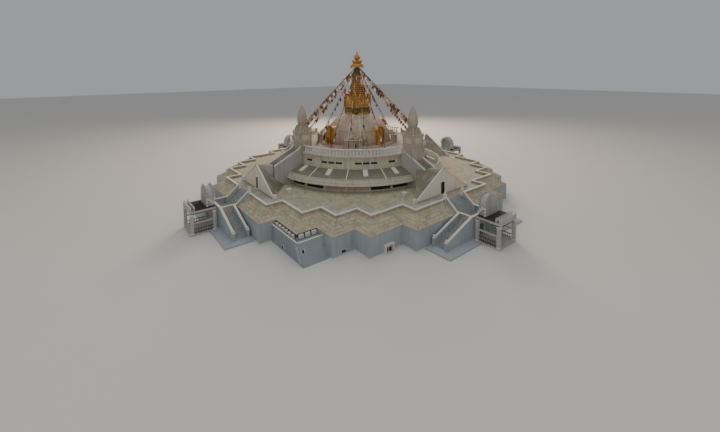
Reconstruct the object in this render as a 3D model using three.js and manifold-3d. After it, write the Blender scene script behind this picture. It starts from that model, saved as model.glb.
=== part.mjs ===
// Round stupa on a many-cornered base, modelled at one tenth of its real size.
// Units are millimetres of the scale model, so 100 mm here is one metre of the building.
// The origin is on the ground under the spire, +Z is up, and the four entrances face +X, +Y, -X and -Y.

import * as THREE from 'three';
import { mergeVertices } from 'three/addons/utils/BufferGeometryUtils.js';
import Module from 'manifold-3d';

const wasm = await Module();
wasm.setup();

// Clearance between pieces that touch
const GAP = 0.3;

// Plan of the base: distance of each run of wall from the centre, and where the plan steps back
const BASE_PLAN = { front: 3640, middle: 3280, corner: 2853, firstStep: 1511, secondStep: 2340 };
const BATTER = 271; // how far the stone-clad wall leans in
const LOWER_WALL_THICKNESS = 60;
const RAMPART_THICKNESS = 80; // measured level
const PARAPET_THICKNESS = 35;
const WALKWAY_WIDTH = 302; // from the outer face of the parapet to the foot of the upper slope

// Heights of the base
const GROUND_FLOOR_TOP = 30;
const LOWER_WALL_TOP = 405;
const FLOOR_UNDERSIDE = 555;
const WALKWAY_TOP = 585;
const PARAPET_TOP = 640;
const SLOPE_TOP = 612;

// Windows of the lower wall, one in each run beside a corner
const WINDOW = { place: 2600, width: 100, sill: 42, head: 105 };

// Ring gallery: ribbon windows, slanting fascia and sloping roof
const GALLERY_RADIUS = 2230;
const GALLERY_THICKNESS = 35;
const GALLERY_TOP = 768;
const FASCIA_RADIUS = 2379;
const FASCIA_TOP = 900;
const RING_ROOF_EAVES_RADIUS = 2310;
const RING_ROOF_TOP = 1045;
const RING_ROOF_DEPTH = 32;
const RIBBON_WINDOW = { sill: 640, head: 752,
  angles: [[-38.6, -27.4], [-26.2, -13.8], [13.8, 26.2], [27.4, 38.6]] };

// Drum, terrace and dome
const DRUM_RADIUS = 1910;
const DRUM_THICKNESS = 45;
const DRUM_TOP = 1295;
const DRUM_SLOT = { sill: 1148, head: 1198,
  angles: [[-35.7, -28.9], [-21.3, -4.1], [4.1, 21.3], [28.9, 35.7]] };
const TERRACE_RADIUS = 1940;
const TERRACE_TOP = 1335;
const RAIL_RADIUS = 1898;
const RAIL_TOP = 1500;
const RAIL_POSTS = 48;
const PLINTH_RADIUS = 1050;
const PLINTH_TOP = 1390;
const DOME = { wall: 45, radius: 978, centre: 1233, top: 2160,
  flank: [[920, 1390], [917, 1480], [905, 1560], [880, 1640], [848, 1710]] };

// Golden niche on each side of the dome
const NICHE = { width: 210, height: 460, face: 1018, doorWidth: 72, doorHeight: 185 };

// Crown of the stupa
const HARMIKA = { collar: 330, baseTop: 2190, body: 460, bodyTop: 2320, cornice: 564, top: 2724 };
const SPIRE = { rings: 13, bottomRadius: 225, topRadius: 100, top: 3420 };
const UMBRELLA = { collar: 62, skirt: 192, skirtFoot: 3482, crown: 146, top: 3640 };
const FINIAL_TOP = 3925;

// Wings on the four axes: a sloping channel from the terrace down to a tall gabled front
const WING = { halfWidth: 180, wall: 32, innerEnd: 1918, underTerrace: 1295, head: 1943, headTop: 1500,
  edgeStart: 2035, edgeTop: 1395, edgeFoot: 1085, edgeEnd: 2680, channelDepth: 60 };
const GABLE = { face: 3050, halfWidth: 884, foot: 610, ridge: 1172, ridgeHalf: 12, back: 2430, backTop: 1060,
  wall: 32, doorWidth: 120, doorHeight: 290 };

// Small spire on a pier at the head of the east and south wings, with its place along the wing
const PIER = { side: 346, capSide: 372, top: 1830, centres: { east: 2150, south: 1810 } };
const BUD = { foot: 1990, radius: 125, tip: 2540 };

// Stair on each axis
const STAIR = { halfWidth: 282, cheek: 40, head: 3332, landingStart: 3688, landingEnd: 4014, landing: 330,
  flightInner: 3688 + GAP, flightFoot: 1110, cheekRise: 127, headRise: 135, newelSide: 60, newelTop: 177,
  depth: 85, upperSteps: 13, lowerSteps: 16 };
const STAIR_OUTER_HALF = STAIR.halfWidth + STAIR.cheek;
const APRON = { outer: 4227, halfWidth: 1296 };
const PASSAGE = { halfWidth: 100, height: 265 };

// Entrance pavilion in front of each stair, with an arched gable on its roof
const PAVILION = { inner: 4083, outer: 4588, halfWidth: 306, post: 60, beamFoot: 240, beamTop: 268,
  roofFoot: 450, roofTop: 488, upstand: 512, railTop: 560 };
const TORANA = { outer: 4250, width: 400, top: 900, rim: 34, recess: 90 };

// Annex in the corner beside the south stair; its east wall leans in like the rampart
const ANNEX = { west: 1511, eastFoot: 2780, eastTop: 2560, south: -3388, wall: 30, parapet: 18, roofDepth: 28,
  roofTop: 318, top: 345, roundWindow: { x: 1990, z: 66, radius: 34 },
  smallWindow: { from: -3345, to: -3295, sill: 190, head: 238 }, door: { from: -2960, to: -2890, head: 220 } };

const QUADRANTS = ['ne', 'nw', 'sw', 'se'];
const SIDES = ['east', 'north', 'west', 'south'];

const WHITE = { color: 0xcfc8c2, roughness: 0.75, metalness: 0 };
const STONE = { color: 0xb3a48e, roughness: 0.9, metalness: 0 };
const GREY = { color: 0x8d8880, roughness: 0.6, metalness: 0 };
const GOLD = { color: 0xb98a35, roughness: 0.35, metalness: 0.85 };
const FLAG = { color: 0xb07a5a, roughness: 0.9, metalness: 0 };

const stupa = new THREE.Group();

// Solids and their meshes

function solidOf(geometry) {
  const plain = geometry.index ? geometry.toNonIndexed() : geometry.clone();
  plain.deleteAttribute('normal');
  plain.deleteAttribute('uv');
  const merged = mergeVertices(plain, 1e-3);
  return new wasm.Manifold(new wasm.Mesh({
    numProp: 3,
    vertProperties: new Float32Array(merged.attributes.position.array),
    triVerts: new Uint32Array(merged.index.array),
  }));
}

function geometryOf(solid) {
  const mesh = solid.getMesh();
  const geometry = new THREE.BufferGeometry();
  geometry.setAttribute('position', new THREE.BufferAttribute(new Float32Array(mesh.vertProperties), 3));
  geometry.setIndex(new THREE.BufferAttribute(new Uint32Array(mesh.triVerts), 1));
  geometry.computeVertexNormals();
  return geometry;
}

function place(name, solid, finish, quarterTurns = 0) {
  const mesh = new THREE.Mesh(geometryOf(solid), new THREE.MeshStandardMaterial(finish));
  mesh.name = name;
  mesh.rotation.z = (quarterTurns * Math.PI) / 2;
  stupa.add(mesh);
}

function prism(points, bottom, top) {
  const shape = new THREE.Shape(points.map(([x, y]) => new THREE.Vector2(x, y)));
  const geometry = new THREE.ExtrudeGeometry(shape, { depth: top - bottom, bevelEnabled: false });
  geometry.translate(0, 0, bottom);
  return solidOf(geometry);
}

// Extrudes an outline drawn as [distance from the centre, height] across the axis, between two lateral places
function profileAcross(points, from, to) {
  const shape = new THREE.Shape(points.map(([u, z]) => new THREE.Vector2(u, z)));
  const geometry = new THREE.ExtrudeGeometry(shape, { depth: to - from, bevelEnabled: false });
  geometry.rotateX(Math.PI / 2);
  geometry.translate(0, to, 0);
  return solidOf(geometry);
}

// Extrudes an outline drawn as [lateral place, height] outwards along the axis
function profileAlong(points, from, to) {
  const shape = new THREE.Shape(points.map(([t, z]) => new THREE.Vector2(t, z)));
  const geometry = new THREE.ExtrudeGeometry(shape, { depth: to - from, bevelEnabled: false });
  geometry.rotateX(Math.PI / 2);
  geometry.rotateZ(Math.PI / 2);
  geometry.translate(from, 0, 0);
  return solidOf(geometry);
}

function box(x0, x1, y0, y1, z0, z1) {
  const geometry = new THREE.BoxGeometry(x1 - x0, y1 - y0, z1 - z0);
  geometry.translate((x0 + x1) / 2, (y0 + y1) / 2, (z0 + z1) / 2);
  return solidOf(geometry);
}

// Turns an outline drawn as [radius, height] about the vertical axis
function turned(points, segments = 72) {
  const closed = [...points, points[0]].map(([r, z]) => new THREE.Vector2(r, z));
  const geometry = new THREE.LatheGeometry(closed, segments);
  geometry.rotateX(Math.PI / 2);
  return solidOf(geometry);
}

// Joins two rings of points that lie one over the other, the lower given first
function loft(lower, lowerHeight, upper, upperHeight) {
  const count = lower.length;
  const positions = [];
  const corner = (point, height) => positions.push(point[0], point[1], height);
  const cap = (ring, height, upwards) => {
    const faces = THREE.ShapeUtils.triangulateShape(ring.map(([x, y]) => new THREE.Vector2(x, y)), []);
    for (const [a, b, c] of faces) {
      const order = upwards ? [a, b, c] : [a, c, b];
      order.forEach((index) => corner(ring[index], height));
    }
  };
  cap(lower, lowerHeight, false);
  cap(upper, upperHeight, true);
  for (let i = 0; i < count; i += 1) {
    const j = (i + 1) % count;
    corner(lower[i], lowerHeight);
    corner(lower[j], lowerHeight);
    corner(upper[j], upperHeight);
    corner(lower[i], lowerHeight);
    corner(upper[j], upperHeight);
    corner(upper[i], upperHeight);
  }
  const geometry = new THREE.BufferGeometry();
  geometry.setAttribute('position', new THREE.BufferAttribute(new Float32Array(positions), 3));
  return solidOf(geometry);
}

// Plans

function turnPoint([x, y], quarterTurns) {
  let point = [x, y];
  for (let i = 0; i < quarterTurns; i += 1) {
    point = [-point[1], point[0]];
  }
  return point;
}

// The stepped plan of the base, moved inwards by an inset
function redentPlan(inset) {
  const front = BASE_PLAN.front - inset;
  const middle = BASE_PLAN.middle - inset;
  const corner = BASE_PLAN.corner - inset;
  const first = BASE_PLAN.firstStep - inset;
  const second = BASE_PLAN.secondStep - inset;
  const quarter = [[front, first], [middle, first], [middle, second], [corner, second], [corner, corner],
    [second, corner], [second, middle], [first, middle], [first, front]];
  return [0, 1, 2, 3].flatMap((turn) => quarter.map((point) => turnPoint(point, turn)));
}

// The same plan with extra points on its long runs, so that it can be joined to a circle
function finePlan(inset, longest) {
  const corners = redentPlan(inset);
  return corners.flatMap((start, i) => {
    const end = corners[(i + 1) % corners.length];
    const pieces = Math.ceil(Math.hypot(end[0] - start[0], end[1] - start[1]) / longest);
    return Array.from({ length: pieces }, (_, k) => [
      start[0] + ((end[0] - start[0]) * k) / pieces,
      start[1] + ((end[1] - start[1]) * k) / pieces,
    ]);
  });
}

function wedge(fromDegrees, toDegrees, radius, bottom, top) {
  const from = THREE.MathUtils.degToRad(fromDegrees);
  const to = THREE.MathUtils.degToRad(toDegrees);
  const middle = (from + to) / 2;
  const reach = radius / Math.cos((to - from) / 2);
  return prism([[0, 0], [radius * Math.cos(from), radius * Math.sin(from)],
    [reach * Math.cos(middle), reach * Math.sin(middle)],
    [radius * Math.cos(to), radius * Math.sin(to)]], bottom, top);
}

// Keeps the part of a solid in the first quadrant, with half the clearance on each cut
function quadrant(solid) {
  const reach = 6000;
  return solid.intersect(box(GAP / 2, reach, GAP / 2, reach, -reach, reach));
}

// Lower wall, rampart and floors

function inset(distance, bottom, top) {
  return prism(redentPlan(distance), bottom, top);
}

function turnedAbout(solid, quarterTurns) {
  return solid.rotate([0, 0, 90 * quarterTurns]);
}

function groundFloor() {
  return inset(LOWER_WALL_THICKNESS + GAP, 0, GROUND_FLOOR_TOP);
}

function lowerWall() {
  const shell = inset(0, 0, LOWER_WALL_TOP).subtract(inset(LOWER_WALL_THICKNESS, -1, LOWER_WALL_TOP + 1));
  const doorway = box(0, 6000, -PASSAGE.halfWidth, PASSAGE.halfWidth, GROUND_FLOOR_TOP, PASSAGE.height);
  const stairSeat = box(3000, 6000, -STAIR_OUTER_HALF - GAP, STAIR_OUTER_HALF + GAP,
    STAIR.landing, LOWER_WALL_TOP + 1);
  const from = WINDOW.place - WINDOW.width / 2;
  const to = WINDOW.place + WINDOW.width / 2;
  const window = box(BASE_PLAN.corner - 200, BASE_PLAN.corner + 200, from, to, WINDOW.sill, WINDOW.head);
  const otherWindow = box(from, to, BASE_PLAN.corner - 200, BASE_PLAN.corner + 200, WINDOW.sill, WINDOW.head);
  const holes = doorway.add(stairSeat);
  return quadrant(shell.subtract(holes).subtract(turnedAbout(holes, 1)).subtract(window).subtract(otherWindow));
}

function rampart() {
  const foot = LOWER_WALL_TOP + GAP;
  const outer = loft(redentPlan(0), foot, redentPlan(BATTER), WALKWAY_TOP);
  const inner = loft(redentPlan(RAMPART_THICKNESS), foot - 1,
    redentPlan(BATTER + RAMPART_THICKNESS), WALKWAY_TOP + 1);
  const parapet = inset(BATTER, WALKWAY_TOP - 2, PARAPET_TOP)
    .subtract(inset(BATTER + PARAPET_THICKNESS, WALKWAY_TOP - 3, PARAPET_TOP + 1));
  const stairGap = box(0, 6000, -STAIR_OUTER_HALF - GAP, STAIR_OUTER_HALF + GAP, 0, 900);
  return quadrant(outer.subtract(inner).add(parapet).subtract(stairGap).subtract(turnedAbout(stairGap, 1)));
}

function upperFloor() {
  return inset(BATTER + RAMPART_THICKNESS + GAP, FLOOR_UNDERSIDE, WALKWAY_TOP);
}

// Wings

// Tapering roof of the gabled front, from its outer face back to the channel
function gableRoof(grow, bottom) {
  const rise = GABLE.ridge - GABLE.foot;
  const side = GABLE.halfWidth + grow * Math.hypot(1, GABLE.halfWidth / rise);
  const peak = GABLE.ridge + grow * Math.hypot(1, rise / GABLE.halfWidth);
  const backSide = WING.halfWidth + grow;
  const front = [[-side, bottom], [side, bottom], [side, GABLE.foot],
    [GABLE.ridgeHalf, peak], [-GABLE.ridgeHalf, peak], [-side, GABLE.foot]];
  const back = [[-backSide, bottom], [backSide, bottom], [backSide, GABLE.foot],
    [backSide, GABLE.backTop + grow], [-backSide, GABLE.backTop + grow], [-backSide, GABLE.foot]];
  return loft(back, GABLE.back - grow, front, GABLE.face + grow).rotate([90, 0, 90]);
}

function wingBody(grow, bottom) {
  const side = WING.halfWidth + grow;
  return profileAcross([[WING.innerEnd - grow, bottom], [WING.edgeEnd + grow, bottom],
    [WING.edgeEnd + grow, WING.edgeFoot + grow], [WING.edgeStart, WING.edgeTop + 3 * grow],
    [WING.head - grow, WING.headTop + 3 * grow], [WING.head - grow, WING.underTerrace + grow],
    [WING.innerEnd - grow, WING.underTerrace + grow]], -side, side);
}

function wingHull(grow, bottom) {
  return gableRoof(grow, bottom).add(wingBody(grow, bottom));
}

// The open channel between the two parapets of a wing
function channel(grow) {
  const side = WING.halfWidth - WING.wall - grow;
  const above = WING.headTop + 100;
  const foot = WING.edgeEnd + 2;
  return profileAcross([[WING.head - 10, above], [WING.head - 10, WING.edgeTop - WING.channelDepth + grow],
    [WING.edgeStart, WING.edgeTop - WING.channelDepth + grow], [foot, WING.edgeFoot - WING.channelDepth + grow],
    [foot, above]], -side, side);
}

function wing() {
  const side = WING.halfWidth - WING.wall;
  const floorDepth = WING.channelDepth + WING.wall;
  const hollowFront = gableRoof(-GABLE.wall, 0);
  const hollowBody = profileAcross([[WING.innerEnd + WING.wall, 0], [WING.edgeEnd, 0],
    [WING.edgeEnd, WING.edgeFoot - floorDepth], [WING.edgeStart, WING.edgeTop - floorDepth],
    [WING.innerEnd + WING.wall, WING.underTerrace - WING.wall]], -side, side);
  const doorway = box(GABLE.face - 200, GABLE.face + 200, -GABLE.doorWidth / 2, GABLE.doorWidth / 2,
    WALKWAY_TOP + 20, WALKWAY_TOP + GABLE.doorHeight);
  const hall = turned([[0, 0], [GALLERY_RADIUS - GALLERY_THICKNESS, 0],
    [GALLERY_RADIUS - GALLERY_THICKNESS, FASCIA_TOP - RING_ROOF_DEPTH],
    [DRUM_RADIUS - DRUM_THICKNESS, RING_ROOF_TOP - RING_ROOF_DEPTH], [0, RING_ROOF_TOP - RING_ROOF_DEPTH]]);
  return wingHull(0, WALKWAY_TOP + GAP).subtract(channel(0)).subtract(hollowFront).subtract(hollowBody)
    .subtract(doorway).subtract(hall);
}

const WING_CUT = wingHull(GAP, WALKWAY_TOP - 10);

function cutByWings(solid) {
  return solid.subtract(WING_CUT).subtract(turnedAbout(WING_CUT, 1));
}

// Upper slope, gallery and ring roof, in the quarter between two wings

function upperSlope() {
  const onCircle = (plan) => plan.map(([x, y]) => {
    const angle = Math.atan2(y, x);
    return [GALLERY_RADIUS * Math.cos(angle), GALLERY_RADIUS * Math.sin(angle)];
  });
  const longestRun = 260;
  const plan = finePlan(BATTER + WALKWAY_WIDTH, longestRun);
  const hallRadius = GALLERY_RADIUS - GALLERY_THICKNESS;
  const hall = turned([[0, 0], [hallRadius, 0], [hallRadius, 900], [0, 900]]);
  return quadrant(cutByWings(loft(plan, WALKWAY_TOP + GAP, onCircle(plan), SLOPE_TOP).subtract(hall)));
}

function gallery() {
  const inner = GALLERY_RADIUS - GALLERY_THICKNESS;
  const foot = SLOPE_TOP + GAP;
  const { sill, head, angles } = RIBBON_WINDOW;
  let wall = turned([[inner, foot], [GALLERY_RADIUS, foot], [GALLERY_RADIUS, GALLERY_TOP], [inner, GALLERY_TOP]]);
  for (const [from, to] of angles) {
    wall = wall.subtract(wedge(45 + from, 45 + to, GALLERY_RADIUS + 200, sill, head));
  }
  return quadrant(cutByWings(wall));
}

function ringRoof() {
  const inner = DRUM_RADIUS - DRUM_THICKNESS;
  const wallInner = GALLERY_RADIUS - GALLERY_THICKNESS;
  const foot = GALLERY_TOP + GAP;
  const roof = turned([[wallInner, foot], [FASCIA_RADIUS, foot], [RING_ROOF_EAVES_RADIUS, FASCIA_TOP],
    [DRUM_RADIUS + 20, RING_ROOF_TOP], [inner, RING_ROOF_TOP],
    [inner, RING_ROOF_TOP - RING_ROOF_DEPTH], [wallInner, FASCIA_TOP - RING_ROOF_DEPTH]]);
  return quadrant(cutByWings(roof));
}

// Drum and terrace

function drum() {
  const inner = DRUM_RADIUS - DRUM_THICKNESS;
  const foot = RING_ROOF_TOP + GAP;
  const { sill, head, angles } = DRUM_SLOT;
  let wall = turned([[inner, foot], [DRUM_RADIUS, foot], [DRUM_RADIUS, DRUM_TOP], [inner, DRUM_TOP]]);
  for (let turn = 0; turn < 4; turn += 1) {
    const middle = 45 + 90 * turn;
    for (const [from, to] of angles) {
      wall = wall.subtract(wedge(middle + from, middle + to, DRUM_RADIUS + 200, sill, head));
    }
  }
  return wall;
}

function terrace() {
  return turned([[0, DRUM_TOP + GAP], [TERRACE_RADIUS, DRUM_TOP + GAP], [TERRACE_RADIUS, TERRACE_TOP],
    [0, TERRACE_TOP]]);
}

function balustrade() {
  const kerb = { depth: 34, height: 16 };
  const post = { side: 15, height: 12 };
  const foot = TERRACE_TOP + GAP;
  const inner = RAIL_RADIUS - kerb.depth / 2;
  const outer = RAIL_RADIUS + kerb.depth / 2;
  const ring = (bottom, top) => turned([[inner, bottom], [outer, bottom], [outer, top], [inner, top]], RAIL_POSTS);
  let rail = ring(foot, foot + kerb.height).add(ring(RAIL_TOP - post.height, RAIL_TOP));
  for (let i = 0; i < RAIL_POSTS; i += 1) {
    const middle = RAIL_RADIUS * Math.cos(Math.PI / RAIL_POSTS);
    const upright = box(middle - post.side / 2, middle + post.side / 2, -post.side / 2, post.side / 2,
      foot + kerb.height - 1, RAIL_TOP - post.height + 1);
    rail = rail.add(upright.rotate([0, 0, (360 * (i + 0.5)) / RAIL_POSTS]));
  }
  const pierGap = box(0, 3000, -PIER.capSide / 2 - 4, PIER.capSide / 2 + 4, 0, 3000);
  return quadrant(rail.subtract(pierGap).subtract(turnedAbout(pierGap, 1)));
}

// Dome

// The dome is a sphere that turns into a nearly upright flank
function domeSolid(shrink) {
  const radius = DOME.radius - shrink;
  const foot = PLINTH_TOP + GAP;
  const springing = 1770;
  const rows = 6;
  const outline = [[0, foot]];
  for (const [r, z] of DOME.flank) {
    outline.push([r - shrink, Math.max(z, foot)]);
  }
  for (let row = 0; row <= rows; row += 1) {
    const z = springing + (DOME.top - shrink - springing) * Math.sin((Math.PI / 2) * (row / rows));
    outline.push([Math.sqrt(radius ** 2 - (z - DOME.centre) ** 2), z]);
  }
  outline.push([0, DOME.top - shrink]);
  return turned(outline, 48);
}

function doorAcross(from) {
  return box(from, 1300, -NICHE.doorWidth / 2, NICHE.doorWidth / 2,
    PLINTH_TOP + 15, PLINTH_TOP + NICHE.doorHeight);
}

function dome() {
  const hollow = domeSolid(DOME.wall).add(box(-300, 300, -300, 300, PLINTH_TOP - 20, PLINTH_TOP + 60));
  let shell = domeSolid(0).subtract(hollow);
  for (let turn = 0; turn < 4; turn += 1) {
    shell = shell.subtract(turnedAbout(doorAcross(600), turn));
  }
  return shell;
}

function plinth() {
  const step = { width: 25, top: TERRACE_TOP + 30, slopeTop: TERRACE_TOP + 38 };
  return turned([[0, TERRACE_TOP + GAP], [PLINTH_RADIUS + step.width, TERRACE_TOP + GAP],
    [PLINTH_RADIUS + step.width, step.top], [PLINTH_RADIUS, step.slopeTop], [PLINTH_RADIUS, PLINTH_TOP],
    [0, PLINTH_TOP]], 64);
}

function archOutline(width, bottom, height) {
  const radius = width / 2;
  const points = [[-radius, bottom], [radius, bottom]];
  const steps = 10;
  for (let i = 0; i <= steps; i += 1) {
    const angle = (Math.PI * i) / steps;
    points.push([radius * Math.cos(angle), bottom + height - radius + radius * Math.sin(angle)]);
  }
  return points;
}

function niche() {
  const bottom = PLINTH_TOP + GAP;
  const hood = profileAlong(archOutline(NICHE.width, bottom, NICHE.height), 600, NICHE.face);
  return hood.subtract(domeSolid(-GAP)).subtract(doorAcross(500));
}

// Crown

function squareSteps(levels) {
  let solid = null;
  for (const [side, bottom, top] of levels) {
    const block = box(-side / 2, side / 2, -side / 2, side / 2, bottom, top);
    solid = solid ? solid.add(block) : block;
  }
  return solid;
}

function harmika() {
  const foot = DOME.top + GAP;
  const collar = turned([[0, foot], [HARMIKA.collar, foot], [HARMIKA.collar - 15, HARMIKA.baseTop],
    [0, HARMIKA.baseTop]], 48);
  const capFoot = HARMIKA.top - (HARMIKA.top - HARMIKA.bodyTop) * 0.2;
  const tiers = squareSteps([[HARMIKA.body, HARMIKA.baseTop - 1, HARMIKA.bodyTop],
    [HARMIKA.body + 50, HARMIKA.bodyTop - 1, HARMIKA.bodyTop + 20],
    [HARMIKA.cornice, HARMIKA.bodyTop + 19, capFoot],
    [HARMIKA.cornice - 60, capFoot - 1, HARMIKA.top]]);
  return collar.add(tiers);
}

function spire() {
  const foot = HARMIKA.top + GAP;
  const pitch = (SPIRE.top - foot) / SPIRE.rings;
  const outline = [[0, foot]];
  for (let i = 0; i < SPIRE.rings; i += 1) {
    const radius = SPIRE.bottomRadius + ((SPIRE.topRadius - SPIRE.bottomRadius) * i) / (SPIRE.rings - 1);
    const level = foot + pitch * i;
    outline.push([radius * 0.88, level], [radius, level + pitch * 0.25], [radius, level + pitch * 0.8]);
  }
  outline.push([UMBRELLA.collar, SPIRE.top], [0, SPIRE.top]);
  return turned(outline, 24);
}

function umbrella() {
  const foot = SPIRE.top + GAP;
  const { collar, skirt, skirtFoot, crown, top } = UMBRELLA;
  return turned([[0, foot], [collar, foot], [collar, skirtFoot + 20], [skirt - 12, skirtFoot],
    [skirt, skirtFoot], [skirt - 45, skirtFoot + 75], [crown - 30, top - 60], [crown, top - 15], [crown - 8, top], [0, top]], 28);
}

function finial() {
  const foot = UMBRELLA.top + GAP;
  const jewel = { radius: 96, centre: foot + 110 };
  return turned([[0, foot], [40, foot], [30, foot + 18], [62, foot + 45], [88, foot + 75],
    [jewel.radius, jewel.centre], [78, foot + 150], [45, foot + 180], [22, foot + 205], [14, FINIAL_TOP - 20],
    [0, FINIAL_TOP]], 24);
}

// Small spires

function pierSpire(centre) {
  const overlap = 1;
  const blocks = [[PIER.side, WING.edgeFoot, PIER.top - 40], [PIER.capSide, PIER.top - 40, PIER.top],
    [PIER.side - 50, PIER.top, PIER.top + 60], [PIER.side - 100, PIER.top + 60, PIER.top + 115],
    [PIER.side - 140, PIER.top + 115, BUD.foot]];
  const square = (side, bottom, top) => box(centre - side / 2, centre + side / 2, -side / 2, side / 2, bottom, top);
  const pier = blocks.map(([side, bottom, top]) => square(side, bottom - overlap, top))
    .reduce((joined, block) => joined.add(block));
  const rise = BUD.tip - BUD.foot;
  const outline = [[0, -overlap], [0.72, -overlap], [0.9, 0.08 * rise], [1, 0.2 * rise], [0.98, 0.34 * rise],
    [0.86, 0.5 * rise], [0.65, 0.66 * rise], [0.4, 0.81 * rise], [0.18, 0.93 * rise], [0, rise]];
  const bud = turned(outline.map(([r, z]) => [r * BUD.radius, z]), 20).translate([centre, 0, BUD.foot]);
  const terraceTop = TERRACE_TOP + GAP;
  const terraceSeat = turned([[0, 0], [TERRACE_RADIUS + GAP, 0], [TERRACE_RADIUS + GAP, terraceTop],
    [0, terraceTop]]);
  const joint = box(TERRACE_RADIUS - 20, WING.head + overlap, -PIER.side, PIER.side, 0, terraceTop);
  return pier.subtract(wingBody(GAP, 0).subtract(channel(GAP))).subtract(terraceSeat).subtract(joint).add(bud);
}

// Stairs

function treads(start, end, startHeight, endHeight, steps) {
  const points = [];
  const run = (end - start) / steps;
  const rise = (startHeight - endHeight) / steps;
  for (let i = 0; i < steps; i += 1) {
    points.push([start + run * i, startHeight - rise * i], [start + run * (i + 1), startHeight - rise * i]);
  }
  return points;
}

function upperStair() {
  const seat = STAIR.landing + GAP;
  const wallInner = BASE_PLAN.front - LOWER_WALL_THICKNESS;
  const head = BASE_PLAN.front - BATTER - RAMPART_THICKNESS;
  const headUnderside = WALKWAY_TOP - STAIR.depth;
  const underside = (u) => seat + ((headUnderside - seat) * (wallInner - u)) / (wallInner - head);
  const steps = [...treads(STAIR.head, STAIR.landingStart, WALKWAY_TOP, STAIR.landing, STAIR.upperSteps),
    [STAIR.landingStart, seat], [wallInner, seat], [head, headUnderside], [head, WALKWAY_TOP]].reverse();
  const cheekTop = STAIR.landing + STAIR.cheekRise;
  const cheekOutline = [[STAIR.head, underside(STAIR.head)], [wallInner, seat], [STAIR.landingStart, seat],
    [STAIR.landingStart, cheekTop], [STAIR.landingStart - STAIR.cheek, cheekTop],
    [STAIR.head, WALKWAY_TOP + STAIR.headRise]];
  return profileAcross(steps, -STAIR_OUTER_HALF, STAIR_OUTER_HALF)
    .add(profileAcross(cheekOutline, STAIR.halfWidth, STAIR_OUTER_HALF))
    .add(profileAcross(cheekOutline, -STAIR_OUTER_HALF, -STAIR.halfWidth));
}

function lowerStair() {
  const back = BASE_PLAN.front + GAP;
  const inner = STAIR_OUTER_HALF - 1;
  const solid = box(back, STAIR.landingEnd, -STAIR_OUTER_HALF, STAIR_OUTER_HALF, 0, STAIR.landing);
  const steps = [[inner, 0], [STAIR.flightFoot, 0],
    ...treads(inner, STAIR.flightFoot, STAIR.landing, GROUND_FLOOR_TOP, STAIR.lowerSteps).reverse()];
  const newelEnd = STAIR.flightFoot + 20;
  const newelStart = newelEnd - STAIR.newelSide;
  const cheek = [[inner, 0], [newelEnd, 0], [newelEnd, STAIR.newelTop], [newelStart, STAIR.newelTop],
    [inner, STAIR.landing + STAIR.cheekRise]];
  const flightAndCheeks = profileAlong(steps, STAIR.flightInner, STAIR.landingEnd)
    .add(profileAlong(cheek, STAIR.flightInner, STAIR.flightInner + STAIR.cheek))
    .add(profileAlong(cheek, STAIR.landingEnd - STAIR.cheek, STAIR.landingEnd));
  const parapetSpan = box(STAIR.landingEnd - STAIR.cheek, STAIR.landingEnd, -STAIR_OUTER_HALF, STAIR_OUTER_HALF,
    STAIR.landing - 1, STAIR.landing + STAIR.cheekRise);
  const apron = box(back, APRON.outer, -APRON.halfWidth, APRON.halfWidth, 0, GROUND_FLOOR_TOP)
    .subtract(box(PAVILION.inner - GAP, 6000, -PAVILION.halfWidth - GAP, PAVILION.halfWidth + GAP, -10, 100));
  const passageRise = PASSAGE.height - GROUND_FLOOR_TOP;
  const passageOutline = archOutline(PASSAGE.halfWidth * 2, GROUND_FLOOR_TOP, passageRise);
  const passage = profileAlong(passageOutline, 3000, 4200);
  return solid.add(flightAndCheeks).add(flightAndCheeks.mirror([0, 1, 0])).add(parapetSpan).add(apron)
    .subtract(passage);
}

// Pavilion

function pavilion() {
  const { inner, outer, halfWidth, post } = PAVILION;
  const base = box(inner, outer, -halfWidth, halfWidth, 0, GROUND_FLOOR_TOP);
  let solid = base.add(box(inner, outer, -halfWidth, halfWidth, PAVILION.roofFoot, PAVILION.roofTop));
  for (const side of [-1, 1]) {
    const edge = side * (halfWidth - post);
    const [from, to] = side > 0 ? [edge, halfWidth] : [-halfWidth, edge];
    solid = solid.add(box(inner, inner + post, from, to, GROUND_FLOOR_TOP - 1, PAVILION.roofFoot + 1))
      .add(box(outer - post, outer, from, to, GROUND_FLOOR_TOP - 1, PAVILION.roofFoot + 1))
      .add(box(inner + post - 1, outer - post + 1, from + 12, to - 12, PAVILION.beamFoot, PAVILION.beamTop))
      .add(box(inner, outer, side > 0 ? halfWidth - 14 : -halfWidth, side > 0 ? halfWidth : 14 - halfWidth,
        PAVILION.roofTop - 1, PAVILION.upstand));
  }
  const gableFoot = PAVILION.roofTop - 1;
  const rail = box(outer - 90, outer - 76, -halfWidth, halfWidth, gableFoot, PAVILION.railTop);
  const frontRail = box(outer - 14, outer, -halfWidth, halfWidth, gableFoot, PAVILION.railTop);
  const gableRise = TORANA.top - gableFoot;
  const gable = profileAlong(archOutline(TORANA.width, gableFoot, gableRise), inner, TORANA.outer);
  const { rim } = TORANA;
  const recessOutline = archOutline(TORANA.width - rim * 2, gableFoot + rim, gableRise - rim * 2);
  const recess = profileAlong(recessOutline, inner - 10, inner + TORANA.recess);
  return solid.add(rail).add(frontRail).add(gable.subtract(recess));
}

// Annex

// Plan of the annex at a height, moved inwards by an inset
function annexPlan(height, inset) {
  const east = ANNEX.eastFoot + ((ANNEX.eastTop - ANNEX.eastFoot) * height) / ANNEX.top - inset;
  const west = ANNEX.west + GAP + inset;
  const inner = BASE_PLAN.secondStep + GAP + inset;
  const south = ANNEX.south + inset;
  const north = -BASE_PLAN.corner - GAP - inset;
  const strip = -BASE_PLAN.middle - GAP - inset;
  return [[west, south], [east, south], [east, north], [inner, north], [inner, strip], [west, strip]];
}

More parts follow.
